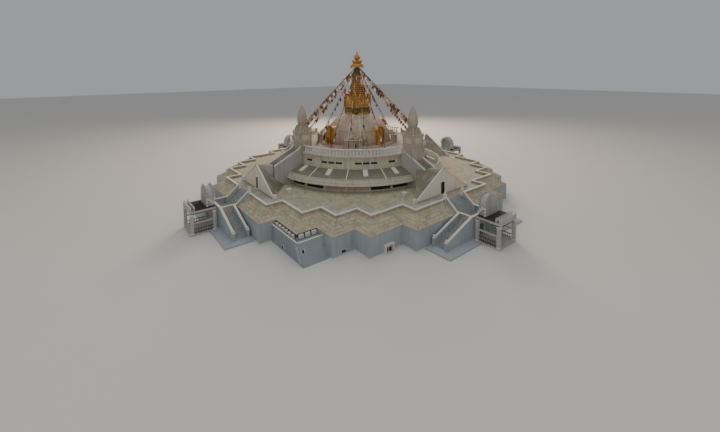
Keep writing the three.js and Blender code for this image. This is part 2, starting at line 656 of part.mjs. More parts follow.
function annex() {
  const ceiling = ANNEX.roofTop - ANNEX.roofDepth;
  const room = loft(annexPlan(GROUND_FLOOR_TOP, ANNEX.wall), GROUND_FLOOR_TOP,
    annexPlan(ceiling, ANNEX.wall), ceiling);
  const roofWell = loft(annexPlan(ANNEX.roofTop, ANNEX.parapet), ANNEX.roofTop,
    annexPlan(ANNEX.top + 1, ANNEX.parapet), ANNEX.top + 1);
  const { smallWindow, door, roundWindow: { x, z, radius } } = ANNEX;
  const roundWindow = new THREE.CylinderGeometry(radius, radius, ANNEX.wall * 2, 24);
  roundWindow.translate(x, ANNEX.south, z);
  const eastReach = ANNEX.eastFoot + 50;
  const smallHole = box(ANNEX.eastTop - 50, eastReach, smallWindow.from, smallWindow.to,
    smallWindow.sill, smallWindow.head);
  return loft(annexPlan(0, 0), 0, annexPlan(ANNEX.top, 0), ANNEX.top).subtract(room).subtract(roofWell)
    .subtract(solidOf(roundWindow))
    .subtract(smallHole)
    .subtract(box(ANNEX.eastTop, eastReach, door.from, door.to, GROUND_FLOOR_TOP, door.head));
}

// Lines of flags, joined by the ring that they are tied to under the umbrella

function flagLines() {
  const top = 3440;
  const tieRadius = UMBRELLA.collar + 20;
  const thickness = 7;
  const rods = [];
  const line = (degrees, radius, height) => {
    const length = Math.hypot(radius - tieRadius, top - height);
    const geometry = new THREE.BoxGeometry(length, thickness, thickness);
    geometry.translate(length / 2, 0, 0);
    geometry.rotateY(Math.atan2(top - height, radius - tieRadius));
    geometry.translate(tieRadius, 0, top);
    geometry.rotateZ(THREE.MathUtils.degToRad(degrees));
    rods.push(solidOf(geometry));
  };
  for (let turn = 0; turn < 4; turn += 1) {
    for (const offset of [18, 31.5, 45, 58.5, 72]) {
      line(90 * turn + offset, RAIL_RADIUS, RAIL_TOP + GAP + thickness * 0.6);
    }
  }
  const knots = { inner: UMBRELLA.collar + GAP, outer: tieRadius + 6, bottom: top - 8, top: top + 8 };
  const ring = turned([[knots.inner, knots.bottom], [knots.outer, knots.bottom], [knots.outer, knots.top],
    [knots.inner, knots.top]], 28);
  return rods.reduce((joined, rod) => joined.add(rod), ring);
}

// The whole stupa

place('ground_floor', groundFloor(), GREY);
place('upper_floor', upperFloor(), STONE);
const PIECES_PER_QUADRANT = { lower_wall: [lowerWall(), WHITE], rampart: [rampart(), STONE],
  upper_slope: [upperSlope(), STONE], gallery: [gallery(), WHITE], ring_roof: [ringRoof(), GREY],
  balustrade: [balustrade(), WHITE] };
for (const [name, [solid, finish]] of Object.entries(PIECES_PER_QUADRANT)) {
  QUADRANTS.forEach((quarter, turn) => place(`${name}_${quarter}`, solid, finish, turn));
}
const PIECES_PER_SIDE = { wing: [wing(), WHITE], niche: [niche(), GOLD],
  upper_stair: [upperStair(), WHITE], lower_stair: [lowerStair(), WHITE], pavilion: [pavilion(), WHITE] };
for (const [name, [solid, finish]] of Object.entries(PIECES_PER_SIDE)) {
  SIDES.forEach((side, turn) => place(`${name}_${side}`, solid, finish, turn));
}
for (const [side, centre] of Object.entries(PIER.centres)) {
  place(`pier_spire_${side}`, pierSpire(centre), WHITE, SIDES.indexOf(side));
}
place('drum', drum(), WHITE);
place('terrace', terrace(), WHITE);
place('dome_plinth', plinth(), WHITE);
place('dome', dome(), WHITE);
place('harmika', harmika(), GOLD);
place('spire', spire(), GOLD);
place('umbrella', umbrella(), GOLD);
place('finial', finial(), GOLD);
place('annex', annex(), WHITE);
place('flag_lines', flagLines(), FLAG);

export default stupa;
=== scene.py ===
"""Looks of a one-tenth scale model of a round stupa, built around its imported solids."""

import logging
import math
import random
from dataclasses import dataclass
from enum import Enum
from typing import Sequence

import bpy
from mathutils import Matrix, Vector


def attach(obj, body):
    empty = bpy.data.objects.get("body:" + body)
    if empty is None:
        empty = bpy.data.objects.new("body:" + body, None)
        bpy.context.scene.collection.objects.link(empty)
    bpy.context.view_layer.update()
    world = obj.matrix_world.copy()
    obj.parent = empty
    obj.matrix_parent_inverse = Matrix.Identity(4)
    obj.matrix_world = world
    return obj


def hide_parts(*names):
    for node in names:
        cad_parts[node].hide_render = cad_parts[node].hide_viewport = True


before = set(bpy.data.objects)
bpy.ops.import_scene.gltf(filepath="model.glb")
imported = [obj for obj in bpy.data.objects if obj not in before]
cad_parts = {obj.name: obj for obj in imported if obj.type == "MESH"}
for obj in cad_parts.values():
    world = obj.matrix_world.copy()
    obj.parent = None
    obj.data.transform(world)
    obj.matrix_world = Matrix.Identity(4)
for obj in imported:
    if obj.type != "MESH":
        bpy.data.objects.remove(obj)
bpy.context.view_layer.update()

BODY = "root"
LOG = logging.getLogger("stupa")

Point = tuple[float, float, float]
Span = tuple[float, float]
Piece = bpy.types.Object
Socket = bpy.types.NodeSocket

QUARTERS = [Matrix.Rotation(math.pi / 2 * turn, 4, "Z") for turn in range(4)]
QUADRANT_NAMES = ("ne", "nw", "sw", "se")
IN_QUADRANTS = [f"_{name}" for name in QUADRANT_NAMES]
ON_SIDES = ("_east", "_north", "_west", "_south")
SIDES = (-1, 1)

# Bevel widths in metres
HAIR, FINE, EDGE, SOFT, FULL = 0.0005, 0.001, 0.002, 0.003, 0.005
# Clearances in metres: under a piece, round a pane or a door leaf, and at the edge of a wider cover
SEAT, GAP, INSET = 0.0003, 0.0005, 0.001
# Longest step of a curved slab in degrees
CURVE_STEP = 2.5


class Slot(Enum):
    """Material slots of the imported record."""

    RENDER = "white_render"
    STONE = "stone_cladding"
    ROOFING = "grey_roofing"
    GILT = "gilded_copper"
    FLAG = "flag_line"


# Modelling helpers


def clear_selection() -> None:
    """Leaves edit mode and selects nothing."""
    if bpy.context.object and bpy.context.object.mode != "OBJECT":
        bpy.ops.object.mode_set(mode="OBJECT")
    bpy.ops.object.select_all(action="DESELECT")


def pick(piece: Piece) -> None:
    """Selects one piece alone and makes it active.

    Args:
        piece: The piece to select.
    """
    clear_selection()
    piece.select_set(True)
    bpy.context.view_layer.objects.active = piece


def edit_all(piece: Piece) -> None:
    """Enters edit mode on a piece with its whole mesh selected.

    Args:
        piece: The piece to edit.
    """
    pick(piece)
    bpy.ops.object.mode_set(mode="EDIT")
    bpy.ops.mesh.select_all(action="SELECT")


def close_up(piece: Piece) -> Piece:
    """Merges the doubles of a piece, removes loose edges and turns all faces outwards.

    Args:
        piece: The piece to close.

    Returns:
        The same piece.
    """
    edit_all(piece)
    bpy.ops.mesh.remove_doubles(threshold=1e-5)
    bpy.ops.mesh.delete_loose(use_verts=True, use_edges=True, use_faces=False)
    bpy.ops.mesh.select_all(action="SELECT")
    bpy.ops.mesh.normals_make_consistent(inside=False)
    bpy.ops.object.mode_set(mode="OBJECT")
    return piece


def soften(piece: Piece, width: float) -> Piece:
    """Bevels the sharp edges of a piece.

    Args:
        piece: The piece to bevel.
        width: Width of the bevel in metres.

    Returns:
        The same piece.
    """
    pick(piece)
    edge = piece.modifiers.new("edge", "BEVEL")
    edge.width = width
    edge.segments = 1
    edge.limit_method = "ANGLE"
    edge.angle_limit = math.radians(35)
    bpy.ops.object.modifier_apply(modifier=edge.name)
    return piece


def drawn_outline(points: Sequence[Point], filled: bool = True) -> Piece:
    """Makes a circle primitive and moves its points onto an outline.

    Args:
        points: Corners of the outline in order.
        filled: Whether the outline gets a face.

    Returns:
        The new flat piece.
    """
    clear_selection()
    bpy.ops.mesh.primitive_circle_add(vertices=len(points), fill_type="NGON" if filled else "NOTHING")
    piece = bpy.context.object
    for vertex, point in zip(piece.data.vertices, points):
        vertex.co = point
    return piece


def pulled(points: Sequence[Point], by: Point, bevel: float = 0.0) -> Piece:
    """Extrudes an outline into a solid.

    Args:
        points: Corners of the outline in order.
        by: Direction and length of the extrusion.
        bevel: Width of the bevel on its edges, or nought for none.

    Returns:
        The new solid.
    """
    piece = drawn_outline(points)
    edit_all(piece)
    bpy.ops.mesh.extrude_region_move(TRANSFORM_OT_translate={"value": by})
    bpy.ops.mesh.select_all(action="SELECT")
    bpy.ops.mesh.normals_make_consistent(inside=False)
    bpy.ops.object.mode_set(mode="OBJECT")
    return soften(piece, bevel) if bevel else piece


def block(low: Point, high: Point, bevel: float = EDGE) -> Piece:
    """Makes a box between its lowest and highest corner, with softened edges.

    Args:
        low: Lowest corner.
        high: Highest corner.
        bevel: Width of the bevel on its edges.

    Returns:
        The new piece.
    """
    (x0, y0, foot), (x1, y1, top) = low, high
    corners = [(x0, y0, foot), (x1, y0, foot), (x1, y1, foot), (x0, y1, foot)]
    return pulled(corners, (0, 0, top - foot), bevel)


def bar(start: Point, end: Point, width: float, height: float, bevel: float = FINE) -> Piece:
    """Makes a straight bar that stands on the line between two points.

    Args:
        start: First end of the line under the bar.
        end: Second end of that line.
        width: Level width of the bar across the line.
        height: Height of the bar over the line.
        bevel: Width of the bevel on its edges.

    Returns:
        The new piece.
    """
    first, last = Vector(start), Vector(end)
    along = last - first
    side = along.cross(Vector((0, 0, 1))).normalized() * width / 2
    up = side.cross(along).normalized()
    if up.z < 0:
        up.negate()
    foot = [first - side, first + side, last + side, last - side]
    return pulled([tuple(point) for point in foot], tuple(up * height), bevel)


def curved(radius: float, depth: Span, rise: Span, span: Span, bevel: float = 0.0) -> Piece:
    """Makes a curved slab on a round wall, about the middle of the first quadrant.

    Args:
        radius: Radius of the wall.
        depth: Distance of its back and its face from the wall, outwards.
        rise: Heights of its foot and top.
        span: First and last angle from the middle of the quadrant, in degrees.
        bevel: Width of the bevel on its edges.

    Returns:
        The new piece.
    """
    start, end = (45 + angle for angle in span)
    inner, outer = (radius + part for part in depth)
    low, high = rise
    count = math.ceil((end - start) / CURVE_STEP)
    angles = [math.radians(start + (end - start) * i / count) for i in range(count + 1)]
    points = [(outer * math.cos(a), outer * math.sin(a), low) for a in angles]
    points += [(inner * math.cos(a), inner * math.sin(a), low) for a in reversed(angles)]
    return pulled(points, (0, 0, high - low), bevel)


def turned(profile: Sequence[Span], steps: int) -> Piece:
    """Spins a profile about the vertical axis.

    Args:
        profile: Radius and height of each corner of the profile, in order.
        steps: Number of steps round.

    Returns:
        The new closed piece.
    """
    piece = drawn_outline([(radius, 0, height) for radius, height in profile], filled=False)
    edit_all(piece)
    bpy.ops.mesh.spin(steps=steps, angle=2 * math.pi, center=(0, 0, 0), axis=(0, 0, 1))
    return close_up(piece)


def hoop(inner: float, outer: float, rise: Span, steps: int) -> Piece:
    """Makes a square-edged ring about the vertical axis.

    Args:
        inner: Inner radius.
        outer: Outer radius.
        rise: Heights of its foot and top.
        steps: Number of steps round.

    Returns:
        The new piece.
    """
    low, high = rise
    return turned([(inner, low), (outer, low), (outer, high), (inner, high)], steps)


def leaf(half: Sequence[Point], depth: float, bevel: float = FINE) -> Piece:
    """Makes an upright leaf from one half of its outline.

    Args:
        half: Points of the half on the side of negative Y, from the foot to the tip.
        depth: Thickness along X.
        bevel: Width of the bevel on its edges.

    Returns:
        The new piece.
    """
    other = [(x, -y, z) for x, y, z in reversed(half[:-1])]
    return pulled([*half, *other], (depth, 0, 0), bevel)


def arch(face: float, radii: Span, spring: float, foot: float, depth: float, steps: int) -> Piece:
    """Makes a round-headed frame that stands on a face square to X.

    Args:
        face: Place of the face.
        radii: Outer and inner half width of the frame.
        spring: Height where the round head starts.
        foot: Height of its foot.
        depth: How far it stands proud.
        steps: Number of steps over the head.

    Returns:
        The new piece.
    """
    angles = [math.pi * i / steps for i in range(steps + 1)]
    outlines = []
    for radius in radii:
        head = [(face, -radius * math.cos(a), spring + radius * math.sin(a)) for a in angles]
        outlines.append([(face, -radius, foot), *head, (face, radius, foot)])
    outside, inside = outlines
    return pulled(outside + inside[::-1], (depth, 0, 0), EDGE)


def spot(x: float, y: float, z: float) -> Matrix:
    """Returns a move to a point."""
    return Matrix.Translation((x, y, z))


def tilt(radians: float) -> Matrix:
    """Returns a turn about the X axis."""
    return Matrix.Rotation(radians, 4, "X")


def turn_to(degrees: float) -> Matrix:
    """Returns a turn about the vertical axis."""
    return Matrix.Rotation(math.radians(degrees), 4, "Z")


def placed(piece: Piece, place: Matrix) -> Piece:
    """Moves or turns the mesh of a piece."""
    piece.data.transform(place)
    return piece


def joined(pieces: Sequence[Piece]) -> Piece:
    """Joins pieces into one.

    Args:
        pieces: The pieces to join.

    Returns:
        The first of them, which then holds them all.
    """
    clear_selection()
    for piece in pieces:
        piece.select_set(True)
    bpy.context.view_layer.objects.active = pieces[0]
    if len(pieces) > 1:
        bpy.ops.object.join()
    return pieces[0]


def repeated(piece: Piece, places: Sequence[Matrix]) -> Piece:
    """Copies a piece to several places, each copy with its own mesh, and joins the copies.

    Args:
        piece: The piece that is copied and then removed.
        places: A transform for each copy.

    Returns:
        The joined copies.
    """
    copies = []
    for place in places:
        copy = piece.copy()
        copy.data = piece.data.copy()
        bpy.context.collection.objects.link(copy)
        copies.append(placed(copy, place))
    bpy.data.objects.remove(piece)
    return joined(copies)


# Materials


def tone(code: str) -> tuple[float, float, float, float]:
    """Turns a six-digit colour code into a linear colour.

    Args:
        code: Two hexadecimal digits each for red, green and blue.

    Returns:
        Red, green, blue and full alpha.
    """
    parts = [int(code[i:i + 2], 16) / 255 for i in (0, 2, 4)]
    red, green, blue = (part / 12.92 if part <= 0.04045 else ((part + 0.055) / 1.055) ** 2.4
                        for part in parts)
    return (red, green, blue, 1.0)


class Board:
    """A node tree with short ways to add and join nodes."""

    def __init__(self, tree: bpy.types.NodeTree) -> None:
        """Keeps the tree that is worked on."""
        self.tree = tree

    def fill(self, made: bpy.types.Node, inputs: dict) -> bpy.types.Node:
        """Sets or joins the inputs of a node.

        Args:
            made: The node.
            inputs: Value or source socket for each of its inputs, by name or number.

        Returns:
            The same node.
        """
        for key, value in inputs.items():
            if isinstance(value, Socket):
                self.tree.links.new(value, made.inputs[key])
            else:
                made.inputs[key].default_value = value
        return made

    def node(self, kind: str, inputs: dict | None = None, **settings: object) -> bpy.types.Node:
        """Adds a node.

        Args:
            kind: Blender's name of the node's type.
            inputs: Value or source socket for each of its inputs, by name or number.
            settings: Properties of the node.

        Returns:
            The new node.
        """
        made = self.tree.nodes.new(kind)
        for key, value in settings.items():
            setattr(made, key, value)
        return self.fill(made, inputs or {})

    def maths(self, operation: str, first: object, second: object = 0.0, third: object = 0.5) -> Socket:
        """Adds a Math node and returns its result."""
        inputs = {0: first, 1: second, 2: third}
        return self.node("ShaderNodeMath", inputs, operation=operation).outputs[0]

    def blend(self, factor: object, first: object, second: object) -> Socket:
        """Mixes two colours and returns the result."""
        return self.node("ShaderNodeMix", {0: factor, 6: first, 7: second}, data_type="RGBA").outputs[2]

    def fade(self, value: Socket, low: float, high: float) -> Socket:
        """Maps a value from a range onto nought to one, held at its ends."""
        inputs = {"Value": value, "From Min": low, "From Max": high}
        return self.node("ShaderNodeMapRange", inputs, interpolation_type="SMOOTHSTEP").outputs[0]

    def noise(self, vector: Socket, scale: float, detail: float) -> Socket:
        """Adds a noise texture and returns its value."""
        inputs = {"Vector": vector, "Scale": scale, "Detail": detail}
        return self.node("ShaderNodeTexNoise", inputs).outputs[0]

    def place(self) -> Socket:
        """Returns the Object coordinates of the surface."""
        return self.node("ShaderNodeTexCoord").outputs["Object"]

    def normal(self) -> Socket:
        """Returns the normal of the surface."""
        return self.node("ShaderNodeNewGeometry").outputs["Normal"]

    def parts(self, vector: Socket) -> bpy.types.NodeOutputs:
        """Splits a vector into its three parts."""
        return self.node("ShaderNodeSeparateXYZ", {0: vector}).outputs


class EffectGroup:
    """A shared shader effect, built once as a node group."""

    def __init__(self, name: str, inputs: dict[str, str], outputs: dict[str, str]) -> None:
        """Makes the group with its named sockets.

        Args:
            name: Name of the group.
            inputs: Kind of each input, Color or Float, by its name.
            outputs: Kind of each output by its name.
        """
        self.tree = bpy.data.node_groups.new(name, "ShaderNodeTree")
        for way, sockets in (("INPUT", inputs), ("OUTPUT", outputs)):
            for socket, kind in sockets.items():
                self.tree.interface.new_socket(socket, in_out=way, socket_type=f"NodeSocket{kind}")
        self.board = Board(self.tree)
        self.enter = self.board.node("NodeGroupInput").outputs
        self.leave = self.board.node("NodeGroupOutput").inputs

    def give(self, results: dict[str, Socket]) -> None:
        """Joins results to the group's outputs by their names."""
        for name, source in results.items():
            self.tree.links.new(source, self.leave[name])

    def add_to(self, board: Board, inputs: dict) -> bpy.types.NodeOutputs:
        """Adds this group to a material's board and returns the outputs of the new node."""
        return board.node("ShaderNodeGroup", inputs, node_tree=self.tree).outputs


def weather_group() -> EffectGroup:
    """Builds the effect of rain streaks, pale or dark patches and fine grain.

    Returns:
        The finished group.
    """
    group = EffectGroup("weathering",
                        {"Color": "Color", "Streak Color": "Color", "Streak Amount": "Float",
                         "Patch Color": "Color", "Patch Amount": "Float"},
                        {"Color": "Color", "Grain": "Float", "Dirt": "Float"})
    board, enter = group.board, group.enter
    place = board.place()
    steep = board.fade(board.maths("ABSOLUTE", board.parts(board.normal())[2]), 0.75, 0.35)
    drawn = board.node("ShaderNodeMapping", {"Vector": place, "Scale": (14.0, 14.0, 1.1)}).outputs[0]
    streak = board.maths("MULTIPLY", board.fade(board.noise(drawn, 1.0, 4.0), 0.46, 0.72), steep)
    streak = board.maths("MULTIPLY", streak, enter["Streak Amount"])
    patch = board.fade(board.noise(place, 4.2, 5.0), 0.42, 0.7)
    patch = board.maths("MULTIPLY", patch, enter["Patch Amount"])
    fine = board.noise(place, 95.0, 4.0)
    speckle = board.maths("MULTIPLY", board.fade(fine, 0.35, 0.75), 0.16)
    colour = board.blend(patch, enter["Color"], enter["Patch Color"])
    for amount in (streak, speckle):
        colour = board.blend(amount, colour, enter["Streak Color"])
    group.give({"Color": colour, "Grain": fine, "Dirt": board.maths("MAXIMUM", streak, patch)})
    return group


def slab_group() -> EffectGroup:
    """Builds the effect of coursed slabs that follow level, upright and sloping faces.

    Returns:
        The finished group.
    """
    group = EffectGroup("coursed_slabs", {"Width": "Float", "Height": "Float", "Joint": "Float"},
                        {"Tone": "Float", "Joint": "Float"})
    board, enter = group.board, group.enter
    place = board.parts(board.place())
    slant = [board.maths("ABSOLUTE", part) for part in board.parts(board.normal())]
    faces_x = board.maths("GREATER_THAN", slant[0], slant[1])
    level = board.maths("GREATER_THAN", slant[2], 0.8)

    def choose(factor: Socket, first: Socket, second: Socket) -> Socket:
        """Returns the first value where the factor is nought, and the second where it is one."""
        return board.node("ShaderNodeMix", {0: factor, 2: first, 3: second}).outputs[0]

    across = choose(faces_x, place[0], place[1])
    upwards = choose(level, place[2], choose(faces_x, place[1], place[0]))
    slabs = board.node("ShaderNodeTexBrick", {
        "Vector": board.node("ShaderNodeCombineXYZ", {0: across, 1: upwards}).outputs[0],
        "Color1": (0, 0, 0, 1), "Color2": (1, 1, 1, 1), "Mortar": (0.5, 0.5, 0.5, 1), "Scale": 1.0,
        "Mortar Size": enter["Joint"], "Mortar Smooth": 0.4, "Brick Width": enter["Width"],
        "Row Height": enter["Height"]}, offset=0.5).outputs
    grey = board.node("ShaderNodeRGBToBW", {0: slabs["Color"]}).outputs[0]
    group.give({"Tone": grey, "Joint": slabs["Fac"]})
    return group


WEATHER = weather_group()
SLABS = slab_group()


@dataclass(frozen=True)
class Coursing:
    """Coursed slabs: width, height and joint in metres, their two tones and the joint's."""

    width: float
    height: float
    joint: float
    tones: tuple[str, str]
    joint_colour: str


@dataclass(frozen=True)
class Finish:
    """A surface finish: smooth render, stone, metal or glass, from the values below."""

    name: str
    colour: str
    streak_colour: str
    streak: float
    patch_colour: str
    patch: float
    roughness: float
    bump: float
    metallic: float = 0.0
    top_colour: str = ""
    top_above: float = -1.0
    mottle_colour: str = ""
    mottle: float = 0.0
    slabs: Coursing | None = None

    def material(self) -> bpy.types.Material:
        """Makes the finish's Blender material the first time it is asked for.

        Returns:
            The material.
        """
        known = bpy.data.materials.get(self.name)
        if known:
            return known
        made = bpy.data.materials.new(self.name)
        made.use_nodes = True
        board = Board(made.node_tree)
        base: object = tone(self.colour)
        height = None
        if self.top_colour:
            raised = board.maths("GREATER_THAN", board.parts(board.place())[2], self.top_above)
            upward = board.fade(board.parts(board.normal())[2], 0.2, 0.4)
            base = board.blend(board.maths("MULTIPLY", upward, raised), base, tone(self.top_colour))
        if self.slabs:
            course = self.slabs
            sizes = {"Width": course.width, "Height": course.height, "Joint": course.joint}
            slabs = SLABS.add_to(board, sizes)
            stones = board.blend(slabs["Tone"], *(tone(code) for code in course.tones))
            base = board.blend(0.55, base, stones)
            base = board.blend(board.maths("MULTIPLY", slabs["Joint"], 0.75), base, tone(course.joint_colour))
            height = board.maths("SUBTRACT", 1.0, slabs["Joint"])
        if self.mottle_colour:
            blotch = board.fade(board.noise(board.place(), 19.0, 6.0), 0.51, 0.62)
            base = board.blend(board.maths("MULTIPLY", blotch, self.mottle), base, tone(self.mottle_colour))
        worn = WEATHER.add_to(board, {
            "Color": base, "Streak Color": tone(self.streak_colour), "Streak Amount": self.streak,
            "Patch Color": tone(self.patch_colour), "Patch Amount": self.patch})
        grain = board.maths("MULTIPLY", worn["Grain"], 0.35)
        total = board.maths("ADD", height, grain) if height else grain
        bump = board.node("ShaderNodeBump", {"Height": total, "Strength": self.bump, "Distance": 0.004})
        board.fill(made.node_tree.nodes["Principled BSDF"], {
            "Base Color": worn["Color"], "Normal": bump.outputs[0], "Metallic": self.metallic,
            "Roughness": board.maths("MULTIPLY_ADD", worn["Dirt"], 0.18, self.roughness)})
        return made


@dataclass(frozen=True)
class FlagCloth:
    """Thin cloth in a few faded colours, one for each flag of a row."""

    name: str = "flag_cloth"
    colours: tuple[str, ...] = ("f4ece2", "8f5a48", "e0c4a2", "5b4a44", "ead9c2", "b07a5e")
    thread_colour: str = "6b5548"

    def material(self) -> bpy.types.Material:
        """Makes the cloth's material the first time it is asked for.

        Returns:
            The material.
        """
        known = bpy.data.materials.get(self.name)
        if known:
            return known
        made = bpy.data.materials.new(self.name)
        made.use_nodes = True
        board = Board(made.node_tree)
        value = board.node("ShaderNodeAttribute", attribute_name="flag_tone").outputs["Fac"]
        ramp = board.node("ShaderNodeValToRGB", {0: value})
        ramp.color_ramp.interpolation = "CONSTANT"
        stops = ramp.color_ramp.elements
        while len(stops) < len(self.colours):
            stops.new(0.5)
        for index, code in enumerate(self.colours):
            stops[index].position = index / len(self.colours)
            stops[index].color = tone(code)
        wave = {"Vector": board.place(), "Scale": 260.0, "Distortion": 2.0}
        weave = board.node("ShaderNodeTexWave", wave).outputs["Fac"]
        thread = board.maths("MULTIPLY", weave, 0.25)
        bump = board.node("ShaderNodeBump", {"Height": weave, "Strength": 0.2, "Distance": 0.0005})
        board.fill(made.node_tree.nodes["Principled BSDF"], {
            "Base Color": board.blend(thread, ramp.outputs[0], tone(self.thread_colour)),
            "Normal": bump.outputs[0], "Roughness": 0.85})
        return made


ANNEX_COAT = Finish("annex_render", "8d9596", "6c7475", 0.3, "a5acad", 0.3, 0.72, 0.1)
WALL = Finish("smooth_wall_render", "a0a7a8", "798082", 0.3, "bcc1c2", 0.3, 0.72, 0.1)
STAIR_COAT = Finish("stair_render", "a6abae", "7f8487", 0.3, "b8bcbe", 0.3, 0.72, 0.1, top_colour="807f79",
                    top_above=0.045)
GABLE_COAT = Finish("gable_render", "ebddca", "a3978a", 0.25, "dccfbd", 0.3, 0.7, 0.12)
HOOD_COAT = Finish("pavilion_render", "b1aeab", "86827e", 0.35, "c4c0bc", 0.3, 0.72, 0.1)
CLADDING = Finish("split_stone_slabs", "b0a48b", "8a7e68", 0.35, "c4b8a1", 0.5, 0.9, 0.8,
                  mottle_colour="c9bfae", mottle=0.5,
                  slabs=Coursing(0.15, 0.06, 0.0035, ("95896f", "c5b99f"), "7e735e"))
WALKWAY = Finish("walkway_slabs", "a8a297", "817c72", 0.2, "cfcac0", 0.35, 0.85, 0.35,
                 slabs=Coursing(0.06, 0.06, 0.0016, ("978f80", "bcb4a5"), "7d766a"))
FLOOR = Finish("hall_floor", "8f8a82", "6d6963", 0.1, "a39e96", 0.3, 0.8, 0.2)
COPING = Finish("coping_stone", "ddd7cb", "98938a", 0.3, "dedbd4", 0.35, 0.75, 0.15)
PALE = Finish("pale_render", "c6b99f", "8f8570", 0.55, "cfc9bc", 0.3, 0.75, 0.12)
ROOFING = Finish("ring_roof_sheet", "7b7664", "5d594b", 0.5, "8a8571", 0.35, 0.55, 0.25,
                 slabs=Coursing(0.3, 0.09, 0.0016, ("706b5a", "86806c"), "5b5748"))
ROOF_EDGE = Finish("fascia_render", "c2bba6", "8d8673", 0.6, "bdb9ac", 0.3, 0.7, 0.12)
DOME_COAT = Finish("dome_render", "b09a86", "7c6c5d", 0.9, "d4c3b0", 0.45, 0.62, 0.15)
WING_COAT = Finish("wing_render", "b0a79f", "877e75", 0.3, "cdc1bc", 0.3, 0.7, 0.12, top_colour="776e5a")
ORNAMENT = Finish("white_ornament", "d6d0ca", "a49d96", 0.25, "ece8e4", 0.3, 0.65, 0.2)
PILLAR_TRIM = Finish("pillar_trim", "c6b7a3", "8c806e", 0.5, "d6c9b6", 0.4, 0.7, 0.15)
PILLAR = Finish("pillar_render", "b09f8b", "7a716b", 0.6, "c9beb7", 0.35, 0.7, 0.15)
PINK_PANEL = Finish("pink_panel", "bfa497", "94796b", 0.35, "cdb6aa", 0.4, 0.7, 0.15)
GILT = Finish("gilded_ornament", "cf9a48", "6b4a20", 0.8, "ecc679", 0.6, 0.45, 0.6, metallic=0.4,
              mottle_colour="8a6128", mottle=0.55)
DARK_GILT = Finish("aged_gilt", "b8823e", "65441d", 0.7, "d4a052", 0.5, 0.5, 0.4, metallic=0.35)
FOOT_GILT = Finish("dark_foot_gilt", "4a2c16", "2c1a0d", 0.4, "6b3f1d", 0.3, 0.55, 0.3, metallic=0.3)
PATINA = Finish("green_gilt", "8d7a3c", "4f4420", 0.7, "b39a4c", 0.7, 0.5, 0.6, metallic=0.3,
                mottle_colour="5f5a2c", mottle=0.7)
GLASS = Finish("dark_glazing", "191b1c", "2c2c2a", 0.3, "24282a", 0.4, 0.18, 0.02)
DOOR = Finish("dark_door", "2b2724", "171513", 0.4, "3a342f", 0.4, 0.45, 0.2)
TIMBER = Finish("dark_rail", "3a322b", "221d19", 0.4, "4b4138", 0.4, 0.5, 0.2)
FELT = Finish("pavilion_roofing", "2b2a22", "1d1c17", 0.2, "50503f", 0.5, 0.8, 0.2)
CARVED = Finish("carved_strip", "a9aaaa", "5f6365", 0.9, "e4e4e2", 0.9, 0.7, 0.8)
CLOTH = FlagCloth()


def coat(piece: Piece, finish: Finish | FlagCloth) -> None:
    """Gives a piece one material in place of those it has."""
    piece.data.materials.clear()
    piece.data.materials.append(finish.material())


def paint_nodes(finish: Finish, stem: str, endings: Sequence[str] = ("",)) -> None:
    """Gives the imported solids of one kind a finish."""
    for ending in endings:
        coat(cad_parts[stem + ending], finish)


def dress(name: str, piece: Piece, finish: Finish | FlagCloth,
          angle: float = 32.0) -> Piece:
    """Names a new piece, gives it its finish and seats it on the model.

    Args:
        name: Name of the piece.
        piece: The modelled piece.
        finish: Its finish.
        angle: Edges sharper than this stay sharp, in degrees.

    Returns:
        The same piece.
    """
    piece.name = piece.data.name = name
    coat(piece, finish)
    pick(piece)
    bpy.ops.object.shade_smooth_by_angle(angle=math.radians(angle))
    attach(piece, BODY)
    LOG.info("%s: %d faces", name, len(piece.data.polygons))
    return piece


def dress_four(name: str, pieces: Sequence[Piece], finish: Finish,
               angle: float = 32.0) -> None:
    """Joins pieces, repeats them about the four axes and dresses them as one piece.

    Args:
        name: Name of the piece.
        pieces: The modelled pieces of one side or quadrant.
        finish: Their finish.
        angle: Edges sharper than this stay sharp, in degrees.
    """
    dress(name, repeated(joined(pieces), QUARTERS), finish, angle)


def smooth_twin(node: str, finish: Finish, angle: float = 32.0) -> None:
    """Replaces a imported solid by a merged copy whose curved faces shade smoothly.

    Args:
        node: Name of the solid.
        finish: Finish of the copy.
        angle: Edges sharper than this stay sharp, in degrees.
    """
    twin = bpy.data.objects.new(f"{node}_surface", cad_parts[node].data.copy())
    bpy.context.collection.objects.link(twin)
    edit_all(twin)
    bpy.ops.mesh.remove_doubles(threshold=2e-5)
    bpy.ops.mesh.customdata_custom_splitnormals_clear()
    bpy.ops.object.mode_set(mode="OBJECT")
    dress(f"{node}_surface", twin, finish, angle)
    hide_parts(node)


# Parts of the model


